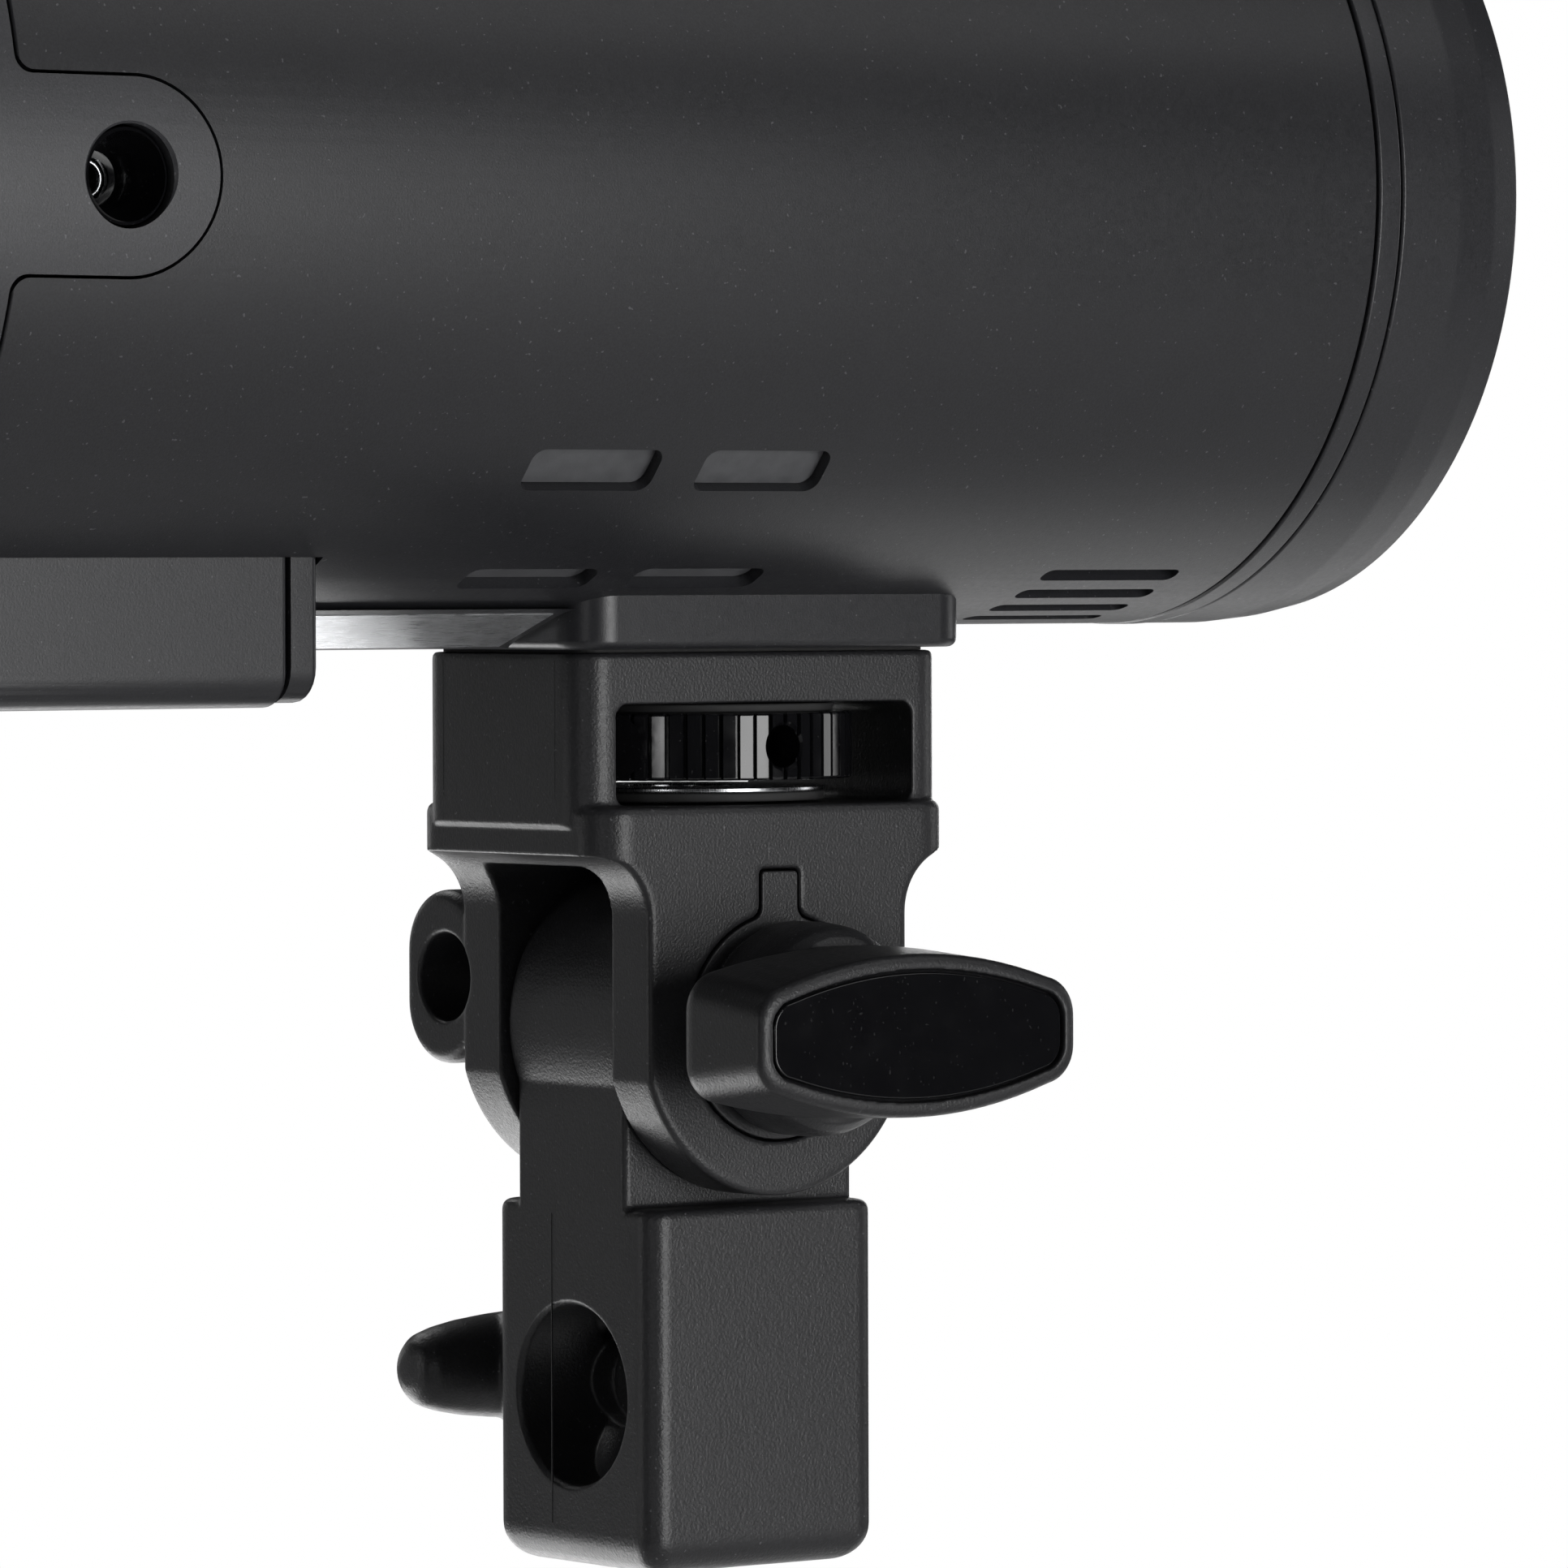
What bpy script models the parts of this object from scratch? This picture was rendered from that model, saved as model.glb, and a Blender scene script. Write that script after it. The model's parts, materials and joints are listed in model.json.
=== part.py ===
"""Compact monolight strobe: a flash head on a tilting bracket with an umbrella hole.

Metres. +X runs along the tube towards the lamp, +Y away from the tilt lever, +Z up.
The origin is the mouth of the light-stand socket, at the underside of the stand receiver.
Each moving body hangs from an empty that stands on its joint's axis, and the pieces of the
head are placed from the tilt axis, which is the origin of the "head" empty.
"""

import math

import bmesh
import bpy
from mathutils import Matrix

MM = 0.001
GAP = 0.3 * MM                      # left between pieces that touch

# Tilt bracket. Heights are above the tilt axis unless a comment says otherwise.
TILT_HEIGHT = 51.0 * MM             # tilt axis above the socket mouth
RECEIVER_HALF_X = 13.4 * MM
RECEIVER_HALF_Y = 12.6 * MM
RECEIVER_TOP = -16.8 * MM
STUD_BORE_R = 8.5 * MM              # clears a 16 mm (5/8 inch) light-stand stud
SOCKET_DEPTH = 29.0 * MM
CROSS_BORE_Z = -34.8 * MM           # second stud bore, along X
LOCK_Z = -34.2 * MM                 # stand lock screw
TONGUE_HALF_Y = 8.6 * MM
TONGUE_R = 14.5 * MM
CHEEK_R = 15.8 * MM
CHEEK_HALF_X = 15.1 * MM
CHEEK_IN, CHEEK_OUT = 8.95 * MM, 15.1 * MM
SLOT_TOP = 15.2 * MM
BAND_LOW, BAND_HIGH = 16.3 * MM, 21.0 * MM
BAND_HALF_X, BAND_HALF_Y = 21.0 * MM, 15.1 * MM
BLOCK_HALF_X, BLOCK_HALF_Y = 21.5 * MM, 13.0 * MM
BLOCK_TOP = 35.1 * MM
WINDOW_HALF_X = 17.35 * MM
WINDOW_LOW, WINDOW_HIGH = 20.8 * MM, 30.3 * MM
UMBRELLA_Y, UMBRELLA_Z, UMBRELLA_R = 18.4 * MM, 4.0 * MM, 4.2 * MM
UMBRELLA_LOCK_X = 6.0 * MM

# Thumbwheel that bolts the head to the bracket.
WHEEL_R = 16.0 * MM
WHEEL_LOW, WHEEL_HIGH = 23.1 * MM, 29.4 * MM
WHEEL_FLUTES = 60
FLUTE_DEPTH = 0.45 * MM
TOMMY_HOLES = 6
FOOT_STUD_R = 4.7 * MM              # 3/8 inch thread

# Tilt lever, on the -Y side.
HUB_R = 10.0 * MM
HUB_IN, HUB_OUT = 16.5 * MM, 23.5 * MM
LEVER_IN, LEVER_OUT = 23.2 * MM, 36.4 * MM
LEVER_HALF_X, LEVER_HALF_Z, LEVER_END_HALF_Z = 18.4 * MM, 7.5 * MM, 5.2 * MM
BOLT_R = 3.0 * MM

# Head: a tube on a foot pad.
TUBE_Z = 78.4 * MM                  # tube axis above the tilt axis
TUBE_R = 41.0 * MM
WALL = 2.0 * MM
SEAM_X = -100.0 * MM                # main housing to rear housing
TUBE_FRONT = 51.4 * MM
RING_BACK, RING_FRONT = 51.7 * MM, 54.4 * MM
COLLAR_BACK, COLLAR_FRONT = 54.7 * MM, 70.1 * MM
COLLAR_IN_R = 38.0 * MM
RELEASE_X = 62.4 * MM               # accessory release pin, on the far side
LUG_ANGLES = (90, 210, 330)
RIM_R = 40.0 * MM
REAR_X = -125.0 * MM
REAR_FLOOR = -123.0 * MM            # bottom of the recess that holds the control panel
REAR_INSIDE = -121.0 * MM
PANEL_R = 36.5 * MM
PANEL_CHORD_Z = 58.6 * MM           # straight lower edge of the panel
SENSOR_Z = 111.0 * MM
TAB_X, TAB_Z, TAB_R = -88.15 * MM, 76.5 * MM, 8.5 * MM
JACK_X, JACK_R = -88.7 * MM, 4.2 * MM
PAD_HALF_X, PAD_HALF_Y, PAD_LOW = 23.0 * MM, 15.4 * MM, 35.4 * MM
SLEEVE_R = 38.6 * MM
# Cross-section of the keel between the battery bay and the pad, as (Y, Z).
KEEL = [(-13.5 * MM, 39.2 * MM), (-3.0 * MM, 35.5 * MM), (3.0 * MM, 35.5 * MM), (13.5 * MM, 39.2 * MM)]
KEEL_BACK, KEEL_FRONT = -56.0 * MM, -22.0 * MM
PIN_X = 15.0 * MM                   # locating pins between pad and bracket
BLADES = 7
TUBE_STEPS = 40

# Battery pack, which slides out to the rear.
PACK_HALF_Y, PACK_LOW, PACK_HIGH = 22.0 * MM, 30.6 * MM, 56.0 * MM
PACK_FRONT = -60.0 * MM
SCOOP_X, SCOOP_Z, SCOOP_R = -103.0 * MM, 38.5 * MM, 30.0 * MM
LATCH_Z = 37.0 * MM
BAY_LIP_BACK, BAY_LIP_FRONT = -59.7 * MM, -56.7 * MM
CELL_R, CELL_LENGTH, CELL_Y, CELL_Z = 9.2 * MM, 59.0 * MM, 9.7 * MM, 42.4 * MM

# Rear controls, as (Y, Z above the tilt axis).
DISPLAY_Z, DISPLAY_W, DISPLAY_H = 96.0 * MM, 37.0 * MM, 22.0 * MM
DIAL_Z, DIAL_R = 70.3 * MM, 9.0 * MM
KEY_R = 3.2 * MM
KEYS = {
    "power_button": (-19.5 * MM, 66.5 * MM),
    "mode_button": (-17.0 * MM, 77.5 * MM),
    "lamp_button": (17.0 * MM, 77.5 * MM),
    "test_button": (19.5 * MM, 66.5 * MM),
}
SCREW_SPOTS = [(-29.5 * MM, 84.0 * MM), (29.5 * MM, 84.0 * MM)]

# Vent slots below the near side, mirrored to the far side: (X from, X to, angle from, angle to).
# An angle of -90 degrees is the bottom of the tube and -180 the near side.
VENTS = [
    (-40.4 * MM, -26.0 * MM, -142.8, -135.9), (-21.1 * MM, -6.9 * MM, -142.8, -135.9),
    (-38.7 * MM, -24.3 * MM, -120.0, -114.5), (-19.8 * MM, -5.3 * MM, -120.0, -114.5),
    (28.4 * MM, 44.8 * MM, -119.3, -116.2), (28.4 * MM, 44.8 * MM, -113.4, -110.3),
    (28.4 * MM, 44.8 * MM, -107.6, -104.5), (28.4 * MM, 44.8 * MM, -101.7, -98.6),
]

TURN = {
    "+X": (math.radians(90), 0, math.radians(90)),
    "-X": (math.radians(90), 0, math.radians(-90)),
    "+Y": (math.radians(-90), 0, 0),
    "-Y": (math.radians(90), 0, 0),
    "+Z": (0, 0, 0),
}

PLASTIC = ("moulded_plastic", (0.045, 0.045, 0.050), 0.55, 0.0)
GLOSS = ("gloss_plastic", (0.010, 0.010, 0.012), 0.12, 0.0)
STEEL = ("steel", (0.60, 0.61, 0.63), 0.28, 1.0)
BRASS = ("brass", (0.62, 0.45, 0.20), 0.30, 1.0)
ALUMINIUM = ("aluminium", (0.78, 0.78, 0.80), 0.22, 1.0)
GLASS = ("glass", (0.86, 0.88, 0.88), 0.20, 0.0)
LINER = ("insulation", (0.20, 0.20, 0.21), 0.65, 0.0)
BOARD = ("circuit_board", (0.02, 0.16, 0.07), 0.45, 0.0)
SLEEVING = ("capacitor_sleeve", (0.02, 0.03, 0.07), 0.35, 0.0)
CERAMIC = ("ceramic", (0.80, 0.78, 0.72), 0.50, 0.0)
SENSOR = ("sensor_red", (0.30, 0.01, 0.01), 0.15, 0.0)
LED = ("led_phosphor", (0.85, 0.62, 0.08), 0.45, 0.0)
RUBBER = ("key_rubber", (0.03, 0.03, 0.03), 0.70, 0.0)


# ---- helpers -------------------------------------------------------------------------------

def clear_scene():
    for obj in list(bpy.data.objects):
        bpy.data.objects.remove(obj, do_unlink=True)


def new_collection(name, hidden=False):
    collection = bpy.data.collections.new(name)
    collection.hide_render = hidden
    bpy.context.scene.collection.children.link(collection)
    return collection


def material(spec):
    name, colour, roughness, metallic = spec
    found = bpy.data.materials.get(name)
    if found:
        return found
    made = bpy.data.materials.new(name)
    made.use_nodes = True
    shader = made.node_tree.nodes["Principled BSDF"]
    shader.inputs["Base Color"].default_value = (*colour, 1.0)
    shader.inputs["Roughness"].default_value = roughness
    shader.inputs["Metallic"].default_value = metallic
    return made


def body(name, at, parent=None):
    """The empty that a body's pieces hang from, on the axis of its joint. `at` is from its parent."""
    empty = bpy.data.objects.new("body_" + name, None)
    empty.location = at
    empty.parent = parent
    PARTS.objects.link(empty)
    return empty


def wrap(name, mesh, at, axis):
    obj = bpy.data.objects.new(name, mesh)
    obj.location = at
    obj.rotation_euler = TURN[axis]
    CUTTERS.objects.link(obj)
    obj.hide_render = True
    obj.display_type = "WIRE"
    return obj


def keep(obj, spec, parent):
    """Makes a shape a piece of the object; a shape that isn't kept stays a cutter."""
    CUTTERS.objects.unlink(obj)
    PARTS.objects.link(obj)
    obj.hide_render = False
    obj.display_type = "TEXTURED"
    obj.parent = parent
    obj.data.materials.append(material(spec))
    for modifier in obj.modifiers:
        if modifier.type == "BOOLEAN":
            follow(modifier.object, parent)
    return obj


def follow(cutter, parent):
    cutter.parent = parent
    for modifier in cutter.modifiers:
        if modifier.type == "BOOLEAN":
            follow(modifier.object, parent)


def boolean(target, other, operation):
    modifier = target.modifiers.new(operation.lower(), "BOOLEAN")
    modifier.operation = operation
    modifier.object = other
    return target


def cut(target, *cutters):
    for cutter in cutters:
        boolean(target, cutter, "DIFFERENCE")
    return target


def join(target, *others):
    for other in others:
        boolean(target, other, "UNION")
    return target


def from_bmesh(name, bm, at, axis):
    mesh = bpy.data.meshes.new(name)
    bm.to_mesh(mesh)
    bm.free()
    mesh.shade_smooth()
    mesh.set_sharp_from_angle(angle=math.radians(30))
    return wrap(name, mesh, at, axis)


def box(name, low, high):
    """A block between two corners."""
    bm = bmesh.new()
    bmesh.ops.create_cube(bm, size=1.0)
    bmesh.ops.scale(bm, vec=[b - a for a, b in zip(low, high)], verts=bm.verts)
    return from_bmesh(name, bm, [(a + b) / 2 for a, b in zip(low, high)], "+Z")


def rod(name, radius, low, high, at, axis, segments=20):
    """A cylinder from `low` to `high` along the axis through `at`."""
    bm = bmesh.new()
    bmesh.ops.create_cone(
        bm, cap_ends=True, segments=segments, radius1=radius, radius2=radius, depth=high - low
    )
    bmesh.ops.translate(bm, vec=(0, 0, (low + high) / 2), verts=bm.verts)
    return from_bmesh(name, bm, at, axis)


def turned(name, profile, at, axis, steps=24, closed=False):
    """A shape turned about `axis`. The profile's (radius, height) points run down its outer side."""
    mesh = bpy.data.meshes.new(name)
    edges = [(i, i + 1) for i in range(len(profile) - 1)]
    if closed:
        edges.append((len(profile) - 1, 0))
    mesh.from_pydata([(radius, 0, height) for radius, height in profile], edges, [])
    obj = wrap(name, mesh, at, axis)
    screw = obj.modifiers.new("turn", "SCREW")
    screw.steps = screw.render_steps = steps
    screw.use_merge_vertices = True
    screw.merge_threshold = 0.00001
    screw.use_smooth_shade = False
    return obj


def ring(name, outer, inner, low, high, at, axis, steps=16):
    profile = [(outer, high), (outer, low), (inner, low), (inner, high)]
    return turned(name, profile, at, axis, steps, closed=True)


def prism(name, outline, depth, at, axis):
    """A flat outline, extruded to `depth` about `at`, square to `axis`."""
    curve = bpy.data.curves.new(name, "CURVE")
    curve.dimensions = "2D"
    curve.fill_mode = "BOTH"
    curve.extrude = depth / 2
    spline = curve.splines.new("POLY")
    spline.points.add(len(outline) - 1)
    for point, (x, y) in zip(spline.points, outline):
        point.co = (x, y, 0, 1)
    spline.use_cyclic_u = True
    guide = bpy.data.objects.new(name + "_outline", curve)
    bpy.context.scene.collection.objects.link(guide)
    bpy.context.view_layer.update()
    evaluated = guide.evaluated_get(bpy.context.evaluated_depsgraph_get())
    mesh = bpy.data.meshes.new_from_object(evaluated)
    bpy.data.objects.remove(guide, do_unlink=True)
    bm = bmesh.new()
    bm.from_mesh(mesh)
    bmesh.ops.remove_doubles(bm, verts=bm.verts, dist=0.000001)
    bmesh.ops.recalc_face_normals(bm, faces=bm.faces)
    bpy.data.meshes.remove(mesh)
    return from_bmesh(name, bm, at, axis)


def arc(cx, cy, radius, start, end, steps):
    """Points on an arc, from `start` to `end` degrees."""
    angles = [math.radians(start + (end - start) * i / steps) for i in range(steps + 1)]
    return [(cx + radius * math.cos(a), cy + radius * math.sin(a)) for a in angles]


def rounded(width, height, radius, steps=3):
    """A rectangle about the origin with round corners."""
    x, y = width / 2 - radius, height / 2 - radius
    return (
        arc(x, y, radius, 0, 90, steps) + arc(-x, y, radius, 90, 180, steps)
        + arc(-x, -y, radius, 180, 270, steps) + arc(x, -y, radius, 270, 360, steps)
    )


def soften(obj, width, segments=2):
    """Rounds the edges of a shape, ahead of any cut."""
    bevel = obj.modifiers.new("soften", "BEVEL")
    bevel.width = width
    bevel.segments = segments
    bevel.limit_method = "ANGLE"
    bevel.angle_limit = math.radians(50)
    return obj


def tube_at(x):
    return (x, 0, TUBE_Z)


# ---- stand receiver ------------------------------------------------------------------------

def stand_receiver(root):
    """Socket block and the tongue that the head tilts on. Heights are from the tilt axis."""
    axis = (0, 0, TILT_HEIGHT)
    depth = TILT_HEIGHT + RECEIVER_TOP
    block = prism(
        "stand_receiver", rounded(2 * RECEIVER_HALF_X, 2 * RECEIVER_HALF_Y, 2.2 * MM, 3),
        depth, (0, 0, depth / 2), "+Z",
    )
    soften(block, 1.8 * MM, 2)
    flank = -math.sqrt(TONGUE_R**2 - RECEIVER_HALF_X**2)
    side = math.degrees(math.atan2(flank, RECEIVER_HALF_X))
    top = arc(0, 0, TONGUE_R, side, 180 - side, 20)
    foot = RECEIVER_TOP - 6 * MM
    outline = [(-RECEIVER_HALF_X, foot), (RECEIVER_HALF_X, foot)] + top
    tongue = prism("tongue", outline, 2 * TONGUE_HALF_Y, axis, "-Y")
    join(block, tongue)
    socket = rod("socket_bore", STUD_BORE_R, -5 * MM, SOCKET_DEPTH, (0, 0, 0), "+Z", 24)
    flare = 1.0 * MM
    cone = [(0, flare), (STUD_BORE_R - 0.2 * MM, flare), (STUD_BORE_R + 1.8 * MM, -flare), (0, -flare)]
    mouth = turned("socket_mouth", cone, (0, 0, 0), "+Z")
    cross_at = (0, 0, TILT_HEIGHT + CROSS_BORE_Z)
    cross = rod("cross_bore", STUD_BORE_R, -20 * MM, 20 * MM, cross_at, "+X", 24)
    lock_at = (0, 0, TILT_HEIGHT + LOCK_Z)
    insert = rod("insert_bore", 4.8 * MM, 5 * MM, 15 * MM, lock_at, "+Y")
    pivot = rod("pivot_bore", 5.3 * MM, -12 * MM, 12 * MM, axis, "+Y")
    cut(block, socket, mouth, cross, insert, pivot)
    return keep(block, PLASTIC, root)


def clamp_insert(root):
    at = (0, 0, TILT_HEIGHT + LOCK_Z)
    return keep(ring("clamp_insert", 4.5 * MM, 2.95 * MM, 8.7 * MM, 12.5 * MM, at, "+Y"), BRASS, root)


def tilt_bushing(root):
    half = TONGUE_HALF_Y - 0.1 * MM
    return keep(ring("tilt_bushing", 5.0 * MM, 3.3 * MM, -half, half, (0, 0, TILT_HEIGHT), "+Y"), BRASS, root)


def stand_lock(parent):
    """T-bar on the far side with the screw that clamps the stud."""
    hub = turned(
        "stand_lock_handle",
        [(0, 25 * MM), (6.2 * MM, 25 * MM), (6.2 * MM, 20 * MM), (7.0 * MM, 16 * MM),
         (7.0 * MM, 13.2 * MM), (0, 13.2 * MM)],
        (0, 0, 0), "+Y", 16,
    )
    spindle = [(0, 14.0), (2.4, 13.8), (3.9, 12.6), (4.6, 8.0), (5.3, 0.0)]
    profile = [(r * MM, h * MM) for r, h in spindle] + [(r * MM, -h * MM) for r, h in spindle[-2::-1]]
    bar = turned("spindle_bar", profile, (0, 26 * MM, 0), "+X", 14)
    blind = rod("lock_screw_seat", 2.95 * MM, 10 * MM, 24 * MM, (0, 0, 0), "+Y", 20)
    keep(cut(join(hub, bar), blind), PLASTIC, parent)
    keep(rod("stand_lock_screw", 2.65 * MM, 8.7 * MM, 23.5 * MM, (0, 0, 0), "+Y", 20), STEEL, parent)


# ---- tilt bracket --------------------------------------------------------------------------

def cheek_outline():
    """The bracket's side view: round below the axis, flared out to the band above it."""
    flare = BAND_HALF_X - CHEEK_HALF_X
    drop = math.degrees(math.acos(CHEEK_HALF_X / CHEEK_R))
    right = arc(BAND_HALF_X, BAND_LOW - flare, flare, 180, 90, 5)
    left = [(-x, z) for x, z in reversed(right)]
    top = SLOT_TOP + 3 * MM
    return (
        arc(0, 0, CHEEK_R, 180 + drop, 360 - drop, 18) + right
        + [(BAND_HALF_X, top), (-BAND_HALF_X, top)] + left
    )


def tilt_yoke(head):
    upper = prism(
        "tilt_yoke", rounded(2 * BLOCK_HALF_X, 2 * BLOCK_HALF_Y, 3.5 * MM), BLOCK_TOP - BAND_LOW,
        (0, 0, (BLOCK_TOP + BAND_LOW) / 2), "+Z",
    )
    band = prism(
        "yoke_band", rounded(2 * BAND_HALF_X + 0.2 * MM, 2 * BAND_HALF_Y + 0.2 * MM, 4 * MM),
        BAND_HIGH - BAND_LOW - 0.2 * MM, (0, 0, (BAND_HIGH + BAND_LOW) / 2), "+Z",
    )
    cheeks = prism("yoke_cheeks", cheek_outline(), 2 * CHEEK_OUT, (0, 0, 0), "-Y")
    boss = prism(
        "umbrella_boss", rounded(12 * MM, 16.6 * MM, 3.5 * MM), 2 * 14.9 * MM, (0, 19 * MM, UMBRELLA_Z), "+X",
    )
    join(upper, band, cheeks, boss)
    slot = box("tongue_slot", (-30 * MM, -CHEEK_IN, -30 * MM), (30 * MM, CHEEK_IN, SLOT_TOP))
    window = prism(
        "wheel_window", rounded(2 * WINDOW_HALF_X, WINDOW_HIGH - WINDOW_LOW, 1.2 * MM, 2), 40 * MM,
        (0, 0, (WINDOW_HIGH + WINDOW_LOW) / 2), "-Y",
    )
    umbrella = rod(
        "umbrella_bore", UMBRELLA_R, -20 * MM, 20 * MM, (0, UMBRELLA_Y, UMBRELLA_Z), "+X",
    )
    lock = rod(
        "umbrella_lock_bore", 2.5 * MM, UMBRELLA_Y, 30 * MM, (UMBRELLA_LOCK_X, 0, UMBRELLA_Z), "+Y", 16,
    )
    stud = rod("stud_bore", 5.3 * MM, 28 * MM, 40 * MM, (0, 0, 0), "+Z")
    pins = [rod("yoke_pin_hole", 1.8 * MM, 31.2 * MM, 40 * MM, (x, 0, 0), "+Z", 12) for x in (-PIN_X, PIN_X)]
    insert = rod("insert_pocket", 10.8 * MM, 11.4 * MM, 20 * MM, (0, 0, 0), "-Y", 32)
    key = box("insert_key_slot", (-2.3 * MM, -20 * MM, 8 * MM), (2.3 * MM, -11.4 * MM, 14.9 * MM))
    bolt = rod("bolt_bore", 3.3 * MM, -12 * MM, 13.6 * MM, (0, 0, 0), "+Y")
    nut = rod("nut_pocket", 6.1 * MM, 5 * MM, 13.6 * MM, (0, 0, 0), "+Y", 6)
    cut(upper, slot, window, umbrella, lock, stud, *pins, insert, key, bolt, nut)
    return keep(upper, PLASTIC, head)


def tilt_hardware(head):
    """Flush plastic insert with its key, steel washer and captive nut."""
    insert = rod("tilt_insert", 10.5 * MM, 11.7 * MM, 15.1 * MM, (0, 0, 0), "-Y", 32)
    key = box("insert_key", (-2.0 * MM, -15.1 * MM, 8 * MM), (2.0 * MM, -11.7 * MM, 14.6 * MM))
    bore = rod("insert_bolt_bore", 3.3 * MM, 5 * MM, 20 * MM, (0, 0, 0), "-Y")
    keep(cut(join(insert, key), bore), PLASTIC, head)
    keep(ring("tilt_washer", 9.4 * MM, 3.3 * MM, 15.4 * MM, 16.2 * MM, (0, 0, 0), "-Y", 20), STEEL, head)
    nut = rod("tilt_nut", 5.77 * MM, 9.3 * MM, 13.2 * MM, (0, 0, 0), "+Y", 6)
    keep(cut(nut, rod("nut_thread", 3.3 * MM, 5 * MM, 20 * MM, (0, 0, 0), "+Y")), STEEL, head)


def lever_outline(half_x, half_z, end_half_z, radius=2.6 * MM):
    """A barrel-sided bar: tallest at its middle, with round corners."""
    steps = 6
    crown = [(half_x - radius) * (1 - 2 * i / steps) for i in range(1, steps)]
    upper = [(x, half_z - (half_z - end_half_z) * (x / half_x) ** 2) for x in crown]
    corner = arc(half_x - radius, end_half_z - radius, radius, 0, 80, 3)
    top = corner + upper + [(-x, z) for x, z in reversed(corner)]
    return top + [(-x, -z) for x, z in top]


def tilt_lever(parent):
    depth = LEVER_OUT - LEVER_IN
    bar = prism(
        "tilt_lever", lever_outline(LEVER_HALF_X, LEVER_HALF_Z, LEVER_END_HALF_Z), depth,
        (0, -(LEVER_IN + LEVER_OUT) / 2, 0), "-Y",
    )
    soften(bar, 1.0 * MM, 1)
    hub = rod("lever_hub", HUB_R, HUB_IN, HUB_OUT + 1 * MM, (0, 0, 0), "-Y", 24)
    inlay_in = LEVER_OUT - 1.2 * MM
    recess = prism(
        "inlay_recess", lever_outline(16.95 * MM, 6.05 * MM, 4.0 * MM, 2.2 * MM), 3 * MM,
        (0, -(inlay_in + 1.5 * MM), 0), "-Y",
    )
    seat = rod("bolt_seat", 3.3 * MM, 10 * MM, 30.3 * MM, (0, 0, 0), "-Y")
    keep(cut(join(bar, hub), recess, seat), PLASTIC, parent)
    inlay = prism(
        "lever_inlay", lever_outline(16.65 * MM, 5.75 * MM, 3.75 * MM, 2.0 * MM), 0.7 * MM,
        (0, -(inlay_in + 0.65 * MM), 0), "-Y",
    )
    keep(inlay, GLOSS, parent)
    keep(rod("tilt_bolt", BOLT_R, -30 * MM, 13.2 * MM, (0, 0, 0), "+Y"), STEEL, parent)


def umbrella_lock(parent):
    """Small thumbscrew that clamps an umbrella shaft, on the far side of the boss."""
    lobes, points = 8, 48
    outline = []
    for i in range(points):
        angle = 2 * math.pi * i / points
        radius = (6.0 - 0.5 * math.cos(lobes * angle)) * MM
        outline.append((radius * math.cos(angle), radius * math.sin(angle)))
    knob = prism("umbrella_knob", outline, 9 * MM, (0, 31 * MM, 0), "-Y")
    keep(cut(knob, rod("knob_seat", 2.3 * MM, 20 * MM, 33 * MM, (0, 0, 0), "+Y", 16)), PLASTIC, parent)
    keep(rod("umbrella_screw", 2.0 * MM, 22.9 * MM, 32.5 * MM, (0, 0, 0), "+Y", 16), STEEL, parent)


# ---- thumbwheel ----------------------------------------------------------------------------

def thumbwheel(parent):
    """Fluted wheel with radial tommy-bar holes, on the stud that draws the head down."""
    points = 2 * WHEEL_FLUTES
    outline = []
    for i in range(points):
        angle = 2 * math.pi * i / points
        radius = WHEEL_R - FLUTE_DEPTH * (0.5 - 0.5 * math.cos(WHEEL_FLUTES * angle))
        outline.append((radius * math.cos(angle), radius * math.sin(angle)))
    middle = (WHEEL_LOW + WHEEL_HIGH) / 2
    wheel = prism("thumbwheel", outline, WHEEL_HIGH - WHEEL_LOW, (0, 0, middle), "+Z")
    for i in range(TOMMY_HOLES):
        hole = rod("tommy_hole", 2.0 * MM, 11 * MM, 20 * MM, (0, 0, middle), "+X", 8)
        hole.rotation_euler.rotate_axis("Y", math.radians(30 + 60 * i))
        cut(wheel, hole)
    cut(wheel, rod("wheel_bore", FOOT_STUD_R + GAP, 20 * MM, 32 * MM, (0, 0, 0), "+Z"))
    keep(wheel, GLOSS, parent)
    keep(rod("foot_stud", FOOT_STUD_R, WHEEL_LOW, 41.0 * MM, (0, 0, 0), "+Z"), STEEL, parent)


def foot_hardware(head):
    keep(ring("wheel_washer", 13.5 * MM, 5.2 * MM, 21.1 * MM, 22.4 * MM, (0, 0, 0), "+Z"), STEEL, head)
    keep(ring("foot_insert", 7.0 * MM, 5.0 * MM, 35.7 * MM, 42.0 * MM, (0, 0, 0), "+Z"), BRASS, head)
    for name, x in (("locating_pin_front", PIN_X), ("locating_pin_rear", -PIN_X)):
        keep(rod(name, 1.5 * MM, 31.5 * MM, 38.5 * MM, (x, 0, 0), "+Z", 12), STEEL, head)


# ---- head shells ---------------------------------------------------------------------------

def tab_outline(grow=0.0):
    """Side view of the rear housing's tab: a tongue with a round front end."""
    radius = TAB_R + grow
    return [(SEAM_X - 4 * MM, TAB_Z - radius)] + arc(TAB_X, TAB_Z, radius, -90, 90, 12) \
        + [(SEAM_X - 4 * MM, TAB_Z + radius)]


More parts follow.
